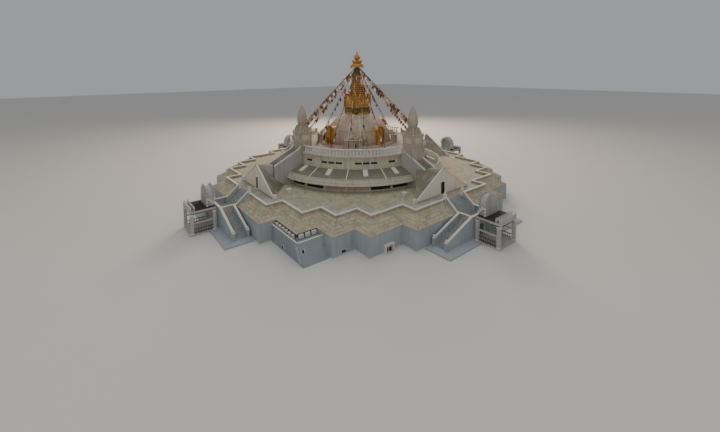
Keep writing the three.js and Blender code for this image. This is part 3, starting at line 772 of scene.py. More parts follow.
@dataclass
class BasePlan:
    """Stepped plan of the base, with its copings, small windows and framed doorways."""

    front: float = 3.640
    middle: float = 3.280
    corner: float = 2.853
    first_step: float = 1.511
    second_step: float = 2.340
    batter: float = 0.271
    parapet: float = 0.035
    parapet_top: float = 0.640
    lower_top: float = 0.405
    stair_half: float = 0.3225
    window_span: Span = (2.550, 2.650)
    window_rise: Span = (0.042, 0.105)
    window_edge: float = 0.007
    door_span: Span = (-2.005, -1.785)
    door_head: float = 0.145
    door_jamb: float = 0.026

    def quarter(self, inset: float) -> list[Span]:
        """Returns the plan of one quarter, moved inwards, from one stair to the next.

        Args:
            inset: Distance inwards.

        Returns:
            Corners in order.
        """
        front, middle, corner = self.front - inset, self.middle - inset, self.corner - inset
        first, second = self.first_step - inset, self.second_step - inset
        half = [(front, self.stair_half), (front, first), (middle, first), (middle, second), (corner, second)]
        return [*half, (corner, corner), *((y, x) for x, y in reversed(half))]

    def strip(self, insets: Span, rise: Span) -> Piece:
        """Makes a strip that follows one quarter of the plan.

        Args:
            insets: Insets of its inner and outer edge.
            rise: Heights of its foot and top.

        Returns:
            The new piece.
        """
        (inner, outer), (low, high) = insets, rise
        points = [(x, y, low) for x, y in self.quarter(outer) + self.quarter(inner)[::-1]]
        return pulled(points, (0, 0, high - low), 0.0015)

    def build(self) -> None:
        """Builds the copings, ledges, windows and doorways, and dresses the walls and floors."""
        paint_nodes(WALL, "lower_wall", IN_QUADRANTS)
        paint_nodes(CLADDING, "rampart", IN_QUADRANTS)
        paint_nodes(CLADDING, "upper_slope", IN_QUADRANTS)
        paint_nodes(FLOOR, "ground_floor")
        paint_nodes(WALKWAY, "upper_floor")
        top, foot = self.parapet_top, self.lower_top
        coping = self.strip((self.batter + self.parapet + 0.007, self.batter - 0.008), (top, top + 0.011))
        dress_four("rampart_coping", [coping], COPING)
        ledge = self.strip((0.03, -0.005), (foot - 0.004, foot + 0.006))
        dress_four("rampart_ledge", [ledge], CLADDING)
        dress_four("base_kerb", [self.strip((0.02, -0.006), (0.0, 0.018))], COPING)
        self.build_windows()
        self.build_doorways()

    def build_doorways(self) -> None:
        """Builds the small framed doorway in one middle run of each side."""
        face, head, (near, far) = self.middle, self.door_head, self.door_span
        left, right, centre = near + self.door_jamb, far - self.door_jamb, (near + far) / 2
        frames = [block((face, near, SEAT), (face + 0.060, left, head)),
                  block((face, right, SEAT), (face + 0.060, far, head)),
                  block((face, near - 0.008, head), (face + 0.072, far + 0.008, head + 0.020)),
                  block((face + 0.005, left, 0.082), (face + 0.012, right, 0.092), FINE),
                  block((face + 0.005, centre - 0.006, SEAT), (face + 0.012, centre + 0.006, head), FINE)]
        dress_four("lower_doorway_frames", frames, ORNAMENT)
        pane = block((face + SEAT, left, SEAT), (face + 0.006, right, head - INSET), FINE)
        dress_four("lower_doorway_panes", [pane], GLASS)

    def build_windows(self) -> None:
        """Builds the framed windows beside each corner of the lower wall."""
        face, edge = self.corner, self.window_edge
        (near, far), (low, high) = self.window_span, self.window_rise
        frames = [block((face, near - edge, high), (face + 0.012, far + edge, high + edge), FINE),
                  block((face, near - edge, low - edge), (face + 0.010, far + edge, low), FINE),
                  block((face, near - edge, low), (face + 0.006, near, high), FINE),
                  block((face, far, low), (face + 0.006, far + edge, high), FINE)]
        pane = block((face - 0.010, near + GAP, low + GAP), (face - 0.003, far - GAP, high - GAP), HAIR)
        mirror = Matrix(((0, 1, 0, 0), (1, 0, 0, 0), (0, 0, 1, 0), (0, 0, 0, 1)))
        places = [turn @ flip for turn in QUARTERS for flip in (Matrix.Identity(4), mirror)]
        dress("lower_wall_window_frames", close_up(repeated(joined(frames), places)), ORNAMENT)
        dress("lower_wall_window_panes", close_up(repeated(pane, places)), GLASS)


@dataclass
class RingGallery:
    """Round gallery with its ribbon windows, fascia and sloping roof."""

    wall: float = 2.230
    foot: float = 0.612
    top: float = 0.768
    glazing: Span = (0.640, 0.752)
    wall_reach: float = 39.0
    fascia: float = 2.379
    coat: float = 0.003
    eaves: float = 2.310
    eaves_height: float = 0.900
    roof_radius: float = 1.930
    roof_height: float = 1.045
    reach: float = 40.3
    windows: tuple[Span, ...] = ((-38.6, -27.4), (-26.2, -13.8), (13.8, 26.2), (27.4, 38.6))
    lights: int = 5
    panels: tuple[Span, ...] = ((-12.4, -6.9), (-6.3, -0.95), (0.95, 6.3), (6.9, 12.4))
    posts: tuple[float, ...] = (-39.6, -26.8, -13.4, 0.0, 13.4, 26.8, 39.6)
    ribs: tuple[float, ...] = (-23.0, 0.0, 23.0)
    vents: tuple[float, ...] = (-33.0, -12.4, 11.5, 31.7)

    def roof_pads(self, offsets: Sequence[float], radii: Span, width: float, height: float) -> Piece:
        """Makes a long pad that lies on the roof, and copies it to several angles.

        Args:
            offsets: Angles from the middle of the quadrant in degrees.
            radii: Inner and outer radius.
            width: Width across.
            height: Height over the roof.

        Returns:
            The joined pads.
        """
        sunk = 0.004
        slope = (self.eaves_height - self.roof_height) / (self.eaves - self.roof_radius)
        start, end = ((radius, 0, self.roof_height + slope * (radius - self.roof_radius) - sunk)
                      for radius in radii)
        pad = bar(start, end, width, height + sunk, EDGE)
        return repeated(pad, [turn_to(45 + offset) for offset in offsets])

    def build(self) -> None:
        """Builds the posts, panes and panels, and dresses the solids."""
        for quarter in IN_QUADRANTS:
            smooth_twin(f"gallery{quarter}", PALE)
            smooth_twin(f"ring_roof{quarter}", ROOFING)
        (sill, head), whole = self.glazing, (-self.wall_reach, self.wall_reach)
        posts = [curved(self.wall, (-0.004, 0.022), (self.foot, self.top), (at - 0.75, at + 0.75), EDGE)
                 for at in self.posts]
        posts += [curved(self.wall, (-0.004, 0.012), rise, whole)
                  for rise in ((self.foot, sill), (head, self.top))]
        dress_four("gallery_posts", posts, PALE)
        panes = [curved(self.wall, (-0.024, -0.018), (sill + INSET, head - INSET), (start + 0.05, end - 0.05))
                 for start, end in self.windows]
        dress_four("gallery_panes", panes, GLASS)
        transom = (sill + head) / 2 + 0.02
        bars = [curved(self.wall, (-0.018, -0.011), (transom, transom + 0.004), window)
                for window in self.windows]
        for start, end in self.windows:
            for at in (start + (end - start) * part / self.lights for part in range(1, self.lights)):
                bars.append(curved(self.wall, (-0.018, -0.010), (sill, head), (at - 0.1, at + 0.1)))
        dress_four("gallery_window_bars", bars, DOOR)
        panels = [curved(self.wall, (-0.002, 0.009), (sill + 0.006, head - 0.006), panel, EDGE)
                  for panel in self.panels]
        dress_four("gallery_panels", panels, PINK_PANEL)
        self.build_roof()

    def build_roof(self) -> None:
        """Builds the lips and the skin of the fascia, the ribs and the vents."""
        groove = (self.eaves + self.fascia) / 2 + 0.008
        lips = [curved(radius, depth, (foot + low, foot + high), (-self.reach, self.reach))
                for radius, depth, foot, low, high in (
                    (self.eaves, (-0.012, 0.014), self.eaves_height, -0.006, 0.008),
                    (self.fascia, (-0.014, 0.006), self.top, 0.0, 0.018),
                    (self.roof_radius, (-0.022, 0.012), self.roof_height, -0.006, 0.016),
                    (groove, (-0.012, 0.004), 0.826, 0.0, 0.012))]
        dress_four("fascia_lips", lips, ROOF_EDGE)
        dress_four("fascia_skin", [self.fascia_skin()], ROOF_EDGE)
        rib = self.roof_pads(self.ribs, (self.roof_radius + 0.004, self.eaves - 0.004), 0.022, 0.010)
        dress_four("roof_ribs", [rib], COPING)
        vents = [self.roof_pads(self.vents, (1.965, 2.190), 0.112, 0.016),
                 self.roof_pads(self.vents, (1.972, 2.182), 0.092, 0.021)]
        dress_four("roof_vents", vents, COPING)

    def fascia_skin(self) -> Piece:
        """Makes the thin slanting coat of the fascia over one quadrant.

        Returns:
            The new piece.
        """
        profile = [(self.fascia, 0, self.top), (self.fascia + self.coat, 0, self.top),
                   (self.eaves + self.coat, 0, self.eaves_height), (self.eaves, 0, self.eaves_height)]
        piece = placed(drawn_outline(profile), turn_to(45 - self.reach))
        edit_all(piece)
        bpy.ops.mesh.spin(steps=36, angle=math.radians(-2 * self.reach), center=(0, 0, 0), axis=(0, 0, 1))
        return close_up(piece)


@dataclass
class DrumAndTerrace:
    """Drum with its slot windows, and the terrace with its balusters."""

    radius: float = 1.910
    slot_rise: Span = (1.148, 1.198)
    slots: tuple[Span, ...] = ((-35.7, -28.9), (-21.3, -4.1), (4.1, 21.3), (28.9, 35.7))
    light: float = 5.7
    moulding_reach: float = 39.2
    terrace_radius: float = 1.940
    terrace_top: float = 1.335
    rail_radius: float = 1.898
    rail_top: float = 1.500
    rail_reach: float = 39.1
    balusters: int = 144

    def build(self) -> None:
        """Builds the panes, frames and mouldings, and dresses the solids."""
        smooth_twin("drum", PALE)
        smooth_twin("terrace", WALKWAY)
        wall, (sill, head) = self.radius, self.slot_rise
        panes, frames = [], []
        for start, end in self.slots:
            pane_rise, pane_span = (sill + INSET, head - INSET), (start + 0.05, end - 0.05)
            panes.append(curved(wall, (-0.034, -0.028), pane_rise, pane_span))
            parts = round((end - start) / self.light)
            for at in (start + (end - start) * part / parts for part in range(parts + 1)):
                bar_rise = (sill - 0.004, head + 0.004)
                frames.append(curved(wall, (-0.028, 0.006), bar_rise, (at - 0.3, at + 0.3), FINE))
            frames.append(curved(wall, (-0.020, 0.010), (sill - 0.010, sill), (start - 0.4, end + 0.4), FINE))
        dress_four("drum_panes", panes, GLASS)
        dress_four("drum_window_frames", frames, COPING)
        whole = (-self.moulding_reach, self.moulding_reach)
        bands = [curved(radius, (-0.004, proud), rise, whole)
                 for radius, proud, rise in ((wall, 0.013, (1.262, 1.294)), (wall, 0.007, (1.222, 1.230)),
                                             (self.terrace_radius, 0.009, (1.312, 1.337)))]
        dress_four("drum_mouldings", bands, PALE)
        self.build_balustrade()

    def build_balustrade(self) -> None:
        """Builds the balusters and the cap rail."""
        paint_nodes(ORNAMENT, "balustrade", IN_QUADRANTS)
        foot, head = self.terrace_top + 0.0165, self.rail_top - 0.0115
        shares = ((0.0, 0.0), (0.024, 0.0), (0.024, 0.10), (0.014, 0.16), (0.026, 0.42), (0.022, 0.58),
                  (0.012, 0.78), (0.021, 0.88), (0.021, 1.0), (0.0, 1.0))
        baluster = turned([(radius, foot + share * (head - foot)) for radius, share in shares], 8)
        angles = [360 / self.balusters * (i + 0.5) for i in range(self.balusters)]
        places = [turn_to(at) @ spot(self.rail_radius, 0, 0) for at in angles
                  if abs(at % 90 - 45) < self.rail_reach - 0.6]
        dress("terrace_balusters", repeated(baluster, places), ORNAMENT, angle=50)
        cap = curved(self.rail_radius, (-0.022, 0.022), (self.rail_top, self.rail_top + 0.009),
                     (-self.rail_reach, self.rail_reach), EDGE)
        dress_four("terrace_cap_rail", [cap], ORNAMENT)


@dataclass
class Dome:
    """Dome with its upright bands, shrines on the diagonals and golden niches."""

    flank: tuple[Span, ...] = ((0.920, 1.390), (0.917, 1.480), (0.905, 1.560), (0.880, 1.640), (0.848, 1.710),
                               (0.818, 1.770))
    radius: float = 0.978
    centre_height: float = 1.233
    band_rise: Span = (1.395, 2.150)
    frame_rise: Span = (1.56, 1.72)
    rings: tuple[Point, ...] = ((1.397, 0.020, 0.014), (1.432, 0.012, 0.010), (1.735, 0.007, 0.010))
    shrine_turn: float = 46.0
    shrine_foot: float = 1.3365
    shrine_half: float = 0.235
    niche_face: float = 1.018
    niche_half: float = 0.105
    niche_top: float = 1.850
    door_half: float = 0.036
    door_rise: Span = (1.405, 1.575)

    def radius_at(self, height: float) -> float:
        """Finds the radius of the dome's face at a height.

        Args:
            height: Height over the ground.

        Returns:
            The radius there.
        """
        if height >= self.flank[-1][1]:
            return math.sqrt(self.radius ** 2 - (height - self.centre_height) ** 2)
        index = max(i for i, (_, z) in enumerate(self.flank) if z <= height)
        (r0, z0), (r1, z1) = self.flank[index:index + 2]
        return r0 + (r1 - r0) * (height - z0) / (z1 - z0)

    def band(self, offset: float, width: float, grow: float, rise: Span) -> Piece:
        """Makes an upright band that follows the dome's curve.

        Args:
            offset: Angle of the band in degrees.
            width: Width of the band.
            grow: How far it stands proud.
            rise: Heights of its foot and top.

        Returns:
            The new piece.
        """
        (low, high), steps = rise, 14
        heights = [low + (high - low) * step / steps for step in range(steps + 1)]
        outside = [(self.radius_at(z) + grow, -width / 2, z) for z in heights]
        inside = [(self.radius_at(z) - 0.012, -width / 2, z) for z in reversed(heights)]
        return placed(pulled(outside + inside, (0, width, 0)), turn_to(offset))

    def build(self) -> None:
        """Builds the bands and rings, and dresses the solids."""
        smooth_twin("dome", DOME_COAT, angle=20)
        smooth_twin("dome_plinth", DOME_COAT)
        bands = [self.band(45 + at, 0.036, 0.016, self.band_rise) for at in (-9.5, 11.5)]
        bands += [self.band(self.shrine_turn, 0.17, 0.010, (low, low + 0.012)) for low in self.frame_rise]
        bands += [self.band(self.shrine_turn + at, 0.012, 0.010, self.frame_rise) for at in (-5.2, 5.2)]
        dress_four("dome_bands", bands, PILLAR_TRIM)
        rings = [hoop(self.radius_at(low) - 0.02, self.radius_at(low) + proud, (low, low + thick), 72)
                 for low, proud, thick in self.rings]
        dress("dome_rings", joined(rings), PILLAR)
        self.build_shrines()
        self.build_niches()

    def build_shrines(self) -> None:
        """Builds the small stepped shrine on the plinth at each diagonal."""
        foot, half = self.shrine_foot, self.shrine_half
        beam, cornice = foot + 0.225, foot + 0.237
        core = [block((0.960, 0.02 - half, foot), (1.110, half - 0.02, beam), 0.004),
                block((0.900, -0.13, cornice), (1.075, 0.13, foot + 0.300), 0.004),
                block((0.880, -0.065, foot + 0.300), (1.030, 0.065, foot + 0.345), 0.004)]
        post = [(0, 0), (0.017, 0), (0.012, 0.014), (0.010, 0.180), (0.017, 0.196), (0.017, 0.205),
                (0, 0.205)]
        bud = [(0, 0), (0.017, 0), (0.011, 0.012), (0.016, 0.026), (0, 0.056)]
        posts = [spot(1.126, share * half / 7 * 0.92, foot + 0.020) for share in range(-7, 8, 2)]
        buds = [spot(1.115, at, cornice) for at in (-0.21, -0.16, 0.16, 0.21)]
        trim = [block((1.075, -half, foot), (1.150, half, foot + 0.020), SOFT),
                block((0.930, -half, beam), (1.140, half, cornice)),
                block((0.900, -0.138, foot + 0.294), (1.083, 0.138, foot + 0.302)),
                repeated(turned(post, 8), posts), repeated(turned(bud, 8), buds)]
        # The first block is painted shadow, a dark strip under the beam; the second is the shrine's dark door
        shade = [block((1.108, 0.018 - half, foot + 0.209), (1.122, half - 0.018, beam - GAP), FINE),
                 block((1.106, 0.038, foot + 0.021), (1.118, 0.108, foot + 0.125))]
        for name, pieces, finish in (("dome_shrines", core, DOME_COAT), ("shrine_posts", trim, PILLAR_TRIM),
                                     ("shrine_doors_and_painted_shadow", shade, DOOR)):
            dress_four(name, [placed(joined(pieces), turn_to(self.shrine_turn))], finish)

    def build_niches(self) -> None:
        """Builds the golden frames, columns, leaves and doors of the four niches."""
        for side in ON_SIDES:
            smooth_twin(f"niche{side}", GILT, 30)
        face, half, door, (low, high) = self.niche_face, self.niche_half, self.door_half, self.door_rise
        spring, jamb = self.niche_top - half, door + 0.010
        parts = [arch(face, radii, spring, 1.392, depth, 14)
                 for radii, depth in (((half, half - 0.020), 0.018), ((half - 0.030, half - 0.040), 0.010))]
        parts += [block((face, -jamb, high), (face + 0.012, jamb, high + 0.014)),
                  block((face, -jamb, low), (face + 0.010, -door, high), FINE),
                  block((face, door, low), (face + 0.010, jamb, high), FINE),
                  block((face - 0.02, -0.085, low - 0.014), (face + 0.055, 0.085, low - 0.001))]
        column = [(0, 0), (0.013, 0), (0.009, 0.014), (0.008, 0.150), (0.014, 0.166), (0.014, 0.178),
                  (0, 0.178)]
        bud = [(0, 0), (0.016, 0), (0.010, 0.012), (0.022, 0.034), (0.016, 0.056), (0.005, 0.084), (0, 0.098)]
        boss = [(0, -0.02), (0.020, 0), (0.013, 0.014), (0, 0.02)]
        parts += [repeated(turned(column, 10), [spot(face + 0.018, at, 1.404) for at in (-0.066, 0.066)]),
                  placed(turned(bud, 12), spot(face - 0.02, 0, self.niche_top - 0.004)),
                  placed(turned(boss, 10), spot(face + 0.006, 0, 1.69))]
        places = [spot(face - 0.014, side * (half - 0.004), 1.42 + 0.052 * level) @ tilt(-side * 1.1)
                  for side in SIDES for level in range(6)]
        for depth, count, reach in ((face - 0.014, 13, half - 0.006), (face - 0.070, 11, half - 0.002)):
            for angle in (math.pi * index / (count - 1) for index in range(count)):
                y, z = -math.cos(angle) * reach, spring + math.sin(angle) * reach
                places.append(spot(depth, y, z) @ tilt(math.pi / 2 - angle))
        petal = leaf([(0, -0.020, 0), (0, -0.024, 0.016), (0, 0, 0.050)], 0.012)
        dress_four("niche_ornament", [*parts, repeated(petal, places)], GILT)
        door_leaf = block((face - 0.012, GAP - door, low + GAP), (face - 0.004, door - GAP, high - GAP), FINE)
        dress_four("niche_doors", [door_leaf], DOOR)


@dataclass
class Crown:
    """Square harmika, ringed spire, umbrella and finial."""

    body_half: float = 0.230
    base_top: float = 2.190
    body_top: float = 2.320
    cornice_half: float = 0.282
    cornice_foot: float = 2.339
    cornice_top: float = 2.6432
    leaf_reach: float = 0.272
    spire_foot: float = 2.7243
    spire_top: float = 3.420
    spire_rings: int = 13
    skirt_radius: float = 0.192
    skirt_foot: float = 3.482
    crown_radius: float = 0.146
    crown_top: float = 3.640

    def build(self) -> None:
        """Dresses the solids and builds their ornament."""
        smooth_twin("harmika", DARK_GILT)
        for node in ("spire", "umbrella", "finial"):
            smooth_twin(node, DARK_GILT, 40)
        self.build_harmika()
        self.build_harmika_foot()
        self.build_spire()
        self.build_umbrella()

    def build_harmika(self) -> None:
        """Builds the framed faces, the pendants and the buds of the harmika."""
        half, foot, top, body = self.cornice_half, self.cornice_foot, self.cornice_top, self.body_half
        low, high, back = foot + 0.03, top - 0.03, half - 0.002
        parts = [block((back, 0.01 - half, start), (half + 0.010, half - 0.01, end))
                 for start, end in ((high, top - 0.004), (foot + 0.004, low))]
        parts += [block((back, at - 0.009, low), (half + 0.008, at + 0.009, high))
                  for at in (0.025 - half, -0.085, 0.085, half - 0.025)]
        parts += [block((back, at - 0.05, low + 0.05), (half + 0.005, at + 0.05, high - 0.05), SOFT)
                  for at in (-0.17, 0.0, 0.17)]
        parts.append(block((body - 0.002, -0.19, 2.215), (body + 0.008, 0.19, 2.300), SOFT))
        pendant = [(0, -0.026), (0.009, -0.012), (0.006, 0.0), (0, 0.0)]
        bud = [(0, 0), (0.020, 0), (0.012, 0.014), (0.024, 0.036), (0.012, 0.064), (0, 0.085)]
        pendants = [spot(half - 0.008, at * 0.058, foot) for at in range(-4, 5)]
        buds = [spot(half - 0.028, at, top - 0.003) for at in (half - 0.028, -0.13, 0.0, 0.13)]
        parts += [repeated(turned(pendant, 8), pendants), repeated(turned(bud, 10), buds)]
        dress_four("harmika_ornament", parts, GILT)

    def build_harmika_foot(self) -> None:
        """Builds the row of leaves, the foot and the lotus ring under the harmika."""
        low, reach, inner = self.base_top + 0.004, self.leaf_reach, self.body_half - 0.002
        petal = leaf([(0, -0.022, 0), (0, -0.026, 0.050), (0, 0, 0.100)], 0.020, EDGE)
        row = [block((inner, -reach, low), (reach, inner, low + 0.016)),
               block((inner, -reach, self.body_top - 0.010), (reach, inner, self.cornice_foot - GAP)),
               repeated(petal, [spot(reach - 0.026, at * 0.060, low + 0.014) for at in range(-4, 5)])]
        dress_four("harmika_leaf_row", row, PATINA)
        foot = block((0.20, -0.262, 2.150), (0.262, 0.20, self.base_top + 0.003), SOFT)
        dress_four("harmika_foot", [foot], FOOT_GILT)
        lotus = [(0.300, 2.162), (0.336, 2.162), (0.340, 2.172), (0.328, 2.186), (0.300, 2.186)]
        dress("harmika_lotus_ring", turned(lotus, 64), GILT)

    def build_spire(self) -> None:
        """Builds the bead round each ring of the spire."""
        pitch = (self.spire_top - self.spire_foot) / self.spire_rings
        section = ((-0.006, -0.008), (0.004, -0.006), (0.007, 0.0), (0.004, 0.006), (-0.006, 0.008))
        beads = []
        for ring in range(self.spire_rings):
            radius = 0.225 - 0.125 * ring / (self.spire_rings - 1)
            level = self.spire_foot + pitch * (ring + 0.52)
            beads.append(turned([(radius + out, level + up) for out, up in section], 36))
        dress("spire_ring_beads", joined(beads), GILT, 50)

    def build_umbrella(self) -> None:
        """Builds the fringe and leaves of the umbrella, and the ring and petals of the finial."""
        drop = [(0, -0.040), (0.009, -0.026), (0.005, -0.008), (0.008, 0.0), (0, 0.002)]
        hem = spot(self.skirt_radius - 0.006, 0, self.skirt_foot)
        fringe = repeated(turned(drop, 8), [turn_to(360 / 28 * i) @ hem for i in range(28)])
        half = [(-0.004, -0.020, -0.022), (0.004, -0.014, 0.012), (0.010, 0.0, 0.040)]
        crown = spot(self.crown_radius, 0, self.crown_top)
        skirt = spot(self.crown_radius + 0.036, 0, self.crown_top - 0.135)
        places = [turn_to(30 * i) @ crown for i in range(12)] + [turn_to(22.5 * i) @ skirt for i in range(16)]
        dress("umbrella_ornament", joined([fringe, repeated(leaf(half, -0.007), places)]), GILT)
        flame = [(0.060, 0.050), (0.102, 0.098), (0.106, 0.110), (0.100, 0.122), (0.060, 0.140)]
        petal = leaf([(0.088, -0.018, 0.070), (0.104, -0.014, 0.104), (0.110, 0, 0.150)], -0.006)
        parts = [turned(flame, 24), repeated(petal, [turn_to(36 * i) for i in range(10)])]
        foot = spot(0, 0, self.crown_top + SEAT)
        dress("finial_ornament", placed(joined(parts), foot), GILT, 50)


@dataclass
class PierSpires:
    """Piers with stepped caps and tall buds over the east and south wings."""

    side: float = 0.346
    cap_rows: tuple[tuple[float, float, int], ...] = ((1.830, 0.186, 5), (1.890, 0.148, 4), (1.945, 0.123, 3))
    bud_foot: float = 1.990
    centres: tuple[tuple[str, float, int], ...] = (("east", 2.150, 0), ("south", 1.810, 3))

    def build(self) -> None:
        """Builds the panels, leaves and rings of both piers, and dresses the solids."""
        for name, centre, turn in self.centres:
            axis = QUARTERS[turn] @ spot(centre, 0, 0)
            smooth_twin(f"pier_spire_{name}", PILLAR, angle=40)
            ornament = repeated(self.ornament(), [axis @ quarter for quarter in QUARTERS])
            dress(f"pier_ornament_{name}", ornament, PILLAR_TRIM)
            dress(f"bud_rings_{name}", placed(self.rings(), axis), PILLAR, angle=50)

    def ornament(self) -> Piece:
        """Makes the panel, string courses and leaves of one face of a pier, about its own axis.

        Returns:
            The joined pieces.
        """
        half, back = self.side / 2, self.side / 2 - 0.002
        places = [spot(reach - 0.012, (reach - 0.02) * (2 * index / (count - 1) - 1), level)
                  for level, reach, count in self.cap_rows for index in range(count)]
        petal = leaf([(0, -0.017, -0.001), (0, -0.014, 0.022), (0, 0, 0.042)], 0.010)
        return joined([block((back, -0.11, 1.62), (half + 0.007, 0.11, 1.76), SOFT),
                       block((back, -half, 1.775), (half + 0.010, half, 1.789)),
                       block((back, -half, 1.585), (half + 0.006, half, 1.596)), repeated(petal, places)])

    def rings(self) -> Piece:
        """Makes the rings at the foot and on the shoulder of a bud, about its own axis.

        Returns:
            The joined rings.
        """
        sections = (((0.08, -0.002), (0.118, -0.002), (0.122, 0.010), (0.112, 0.020), (0.08, 0.020)),
                    ((0.11, 0.052), (0.130, 0.056), (0.131, 0.066), (0.11, 0.070)))
        return joined([turned([(radius, self.bud_foot + up) for radius, up in section], 24)
                       for section in sections])


@dataclass
class Wings:
    """Wings with copings down their channels and tall gabled fronts."""

    half: float = 0.180
    wall: float = 0.032
    head: Span = (1.943, 1.500)
    edge_start: Span = (2.035, 1.395)
    edge_end: Span = (2.680, 1.085)
    knobs: int = 9
    face: float = 3.050
    gable_half: float = 0.884
    gable_foot: float = 0.610
    ridge: float = 1.172
    post_line: float = 0.885
    plinth: Span = (2.600, 0.755)
    door_half: float = 0.060
    door_rise: Span = (0.605, 0.875)
    door_edge: float = 0.012

    def build(self) -> None:
        """Builds the copings and crests, and dresses the solids."""
        paint_nodes(WING_COAT, "wing", ON_SIDES)
        line = self.half - self.wall / 2
        (head, head_top), (start, start_top), (end, end_top) = self.head, self.edge_start, self.edge_end
        copings, places = [], []
        for at in (-line, line):
            copings += [bar((head + 0.005, at, head_top), (start, at, start_top), 0.044, 0.010),
                        bar((start, at, start_top), (end, at, end_top), 0.044, 0.010)]
            for share in ((index + 0.5) / self.knobs for index in range(self.knobs)):
                x, z = start + (end - start) * share, start_top + (end_top - start_top) * share
                places.append(spot(x, at, z + 0.006))
        knob = [(0, 0), (0.013, 0), (0.009, 0.008), (0.015, 0.020), (0.007, 0.034), (0, 0.042)]
        dress_four("wing_copings", copings, COPING)
        dress_four("wing_crests", [repeated(turned(knob, 8), places)], ORNAMENT, angle=50)
        self.build_gables()
        self.build_doors()

    def build_gables(self) -> None:
        """Builds the edge trims, the feet and the coat of the gabled fronts."""
        face, ridge, foot, half = self.face, self.ridge, self.gable_foot, self.gable_half
        peak = (face - 0.006, 0, ridge + 0.004)
        trims = [bar((face - 0.006, side * (half + 0.004), foot), peak, 0.034, 0.009) for side in SIDES]
        trims.append(block((face - 0.02, -0.02, ridge - 0.006), (face + 0.006, 0.02, ridge + 0.030), 0.004))
        dress_four("gable_trims", trims, COPING)
        plinth, place = self.plinth
        feet = [block((back, side * line - reach, low), (front, side * line + reach, high), bevel)
                for back, front, line, reach, low, high, bevel in (
                    (face - 0.075, face + 0.012, self.post_line, 0.040, 0.5855, 0.665, FULL),
                    (face - 0.066, face + 0.003, self.post_line, 0.031, 0.665, 0.680, 0.004),
                    (plinth - 0.045, plinth + 0.045, place, 0.045, 0.598, 0.672, 0.006),
                    (plinth - 0.055, plinth + 0.055, place, 0.055, 0.672, 0.688, FULL))
                for side in SIDES]
        dress_four("gable_feet", feet, ORNAMENT)
        beside, over = self.door_half + self.door_edge, self.door_rise[1] + self.door_edge
        shoulder = ridge - (ridge - foot) / half * beside - 0.003
        outlines = [[(side * (half - 0.004), foot + 0.001), (side * beside, foot + 0.001),
                     (side * beside, shoulder)] for side in SIDES]
        outlines.append([(-beside, over), (beside, over), (beside, shoulder), (0, ridge - 0.003),
                         (-beside, shoulder)])
        skins = [pulled([(face, y, z) for y, z in outline], (0.003, 0, 0)) for outline in outlines]
        dress_four("gable_fronts", skins, GABLE_COAT)

    def build_doors(self) -> None:
        """Builds the frames and the panelled leaves of the tall doors."""
        face, door, edge, (sill, head) = self.face, self.door_half, self.door_edge, self.door_rise
        back, beside = face - 0.02, door + edge
        frames = [block((back, near, sill), (face + 0.007, near + edge, head)) for near in (-beside, door)]
        frames += [block((back, -beside, head), (face + 0.009, beside, head + edge)),
                   block((back, -door - 0.02, sill - 0.019), (face + 0.03, door + 0.02, sill))]
        dress_four("gable_door_frames", frames, COPING)
        leaves = [block((face - 0.024, near, sill + GAP), (face - 0.016, far, head - GAP), FINE)
                  for near, far in ((GAP - door, -INSET), (INSET, door - GAP))]
        leaves += [block((face - 0.018, centre - 0.018, low), (face - 0.013, centre + 0.018, high), FINE)
                   for centre in (-door / 2, door / 2) for low, high in ((0.63, 0.73), (0.745, 0.85))]
        dress_four("gable_doors", leaves, DOOR)


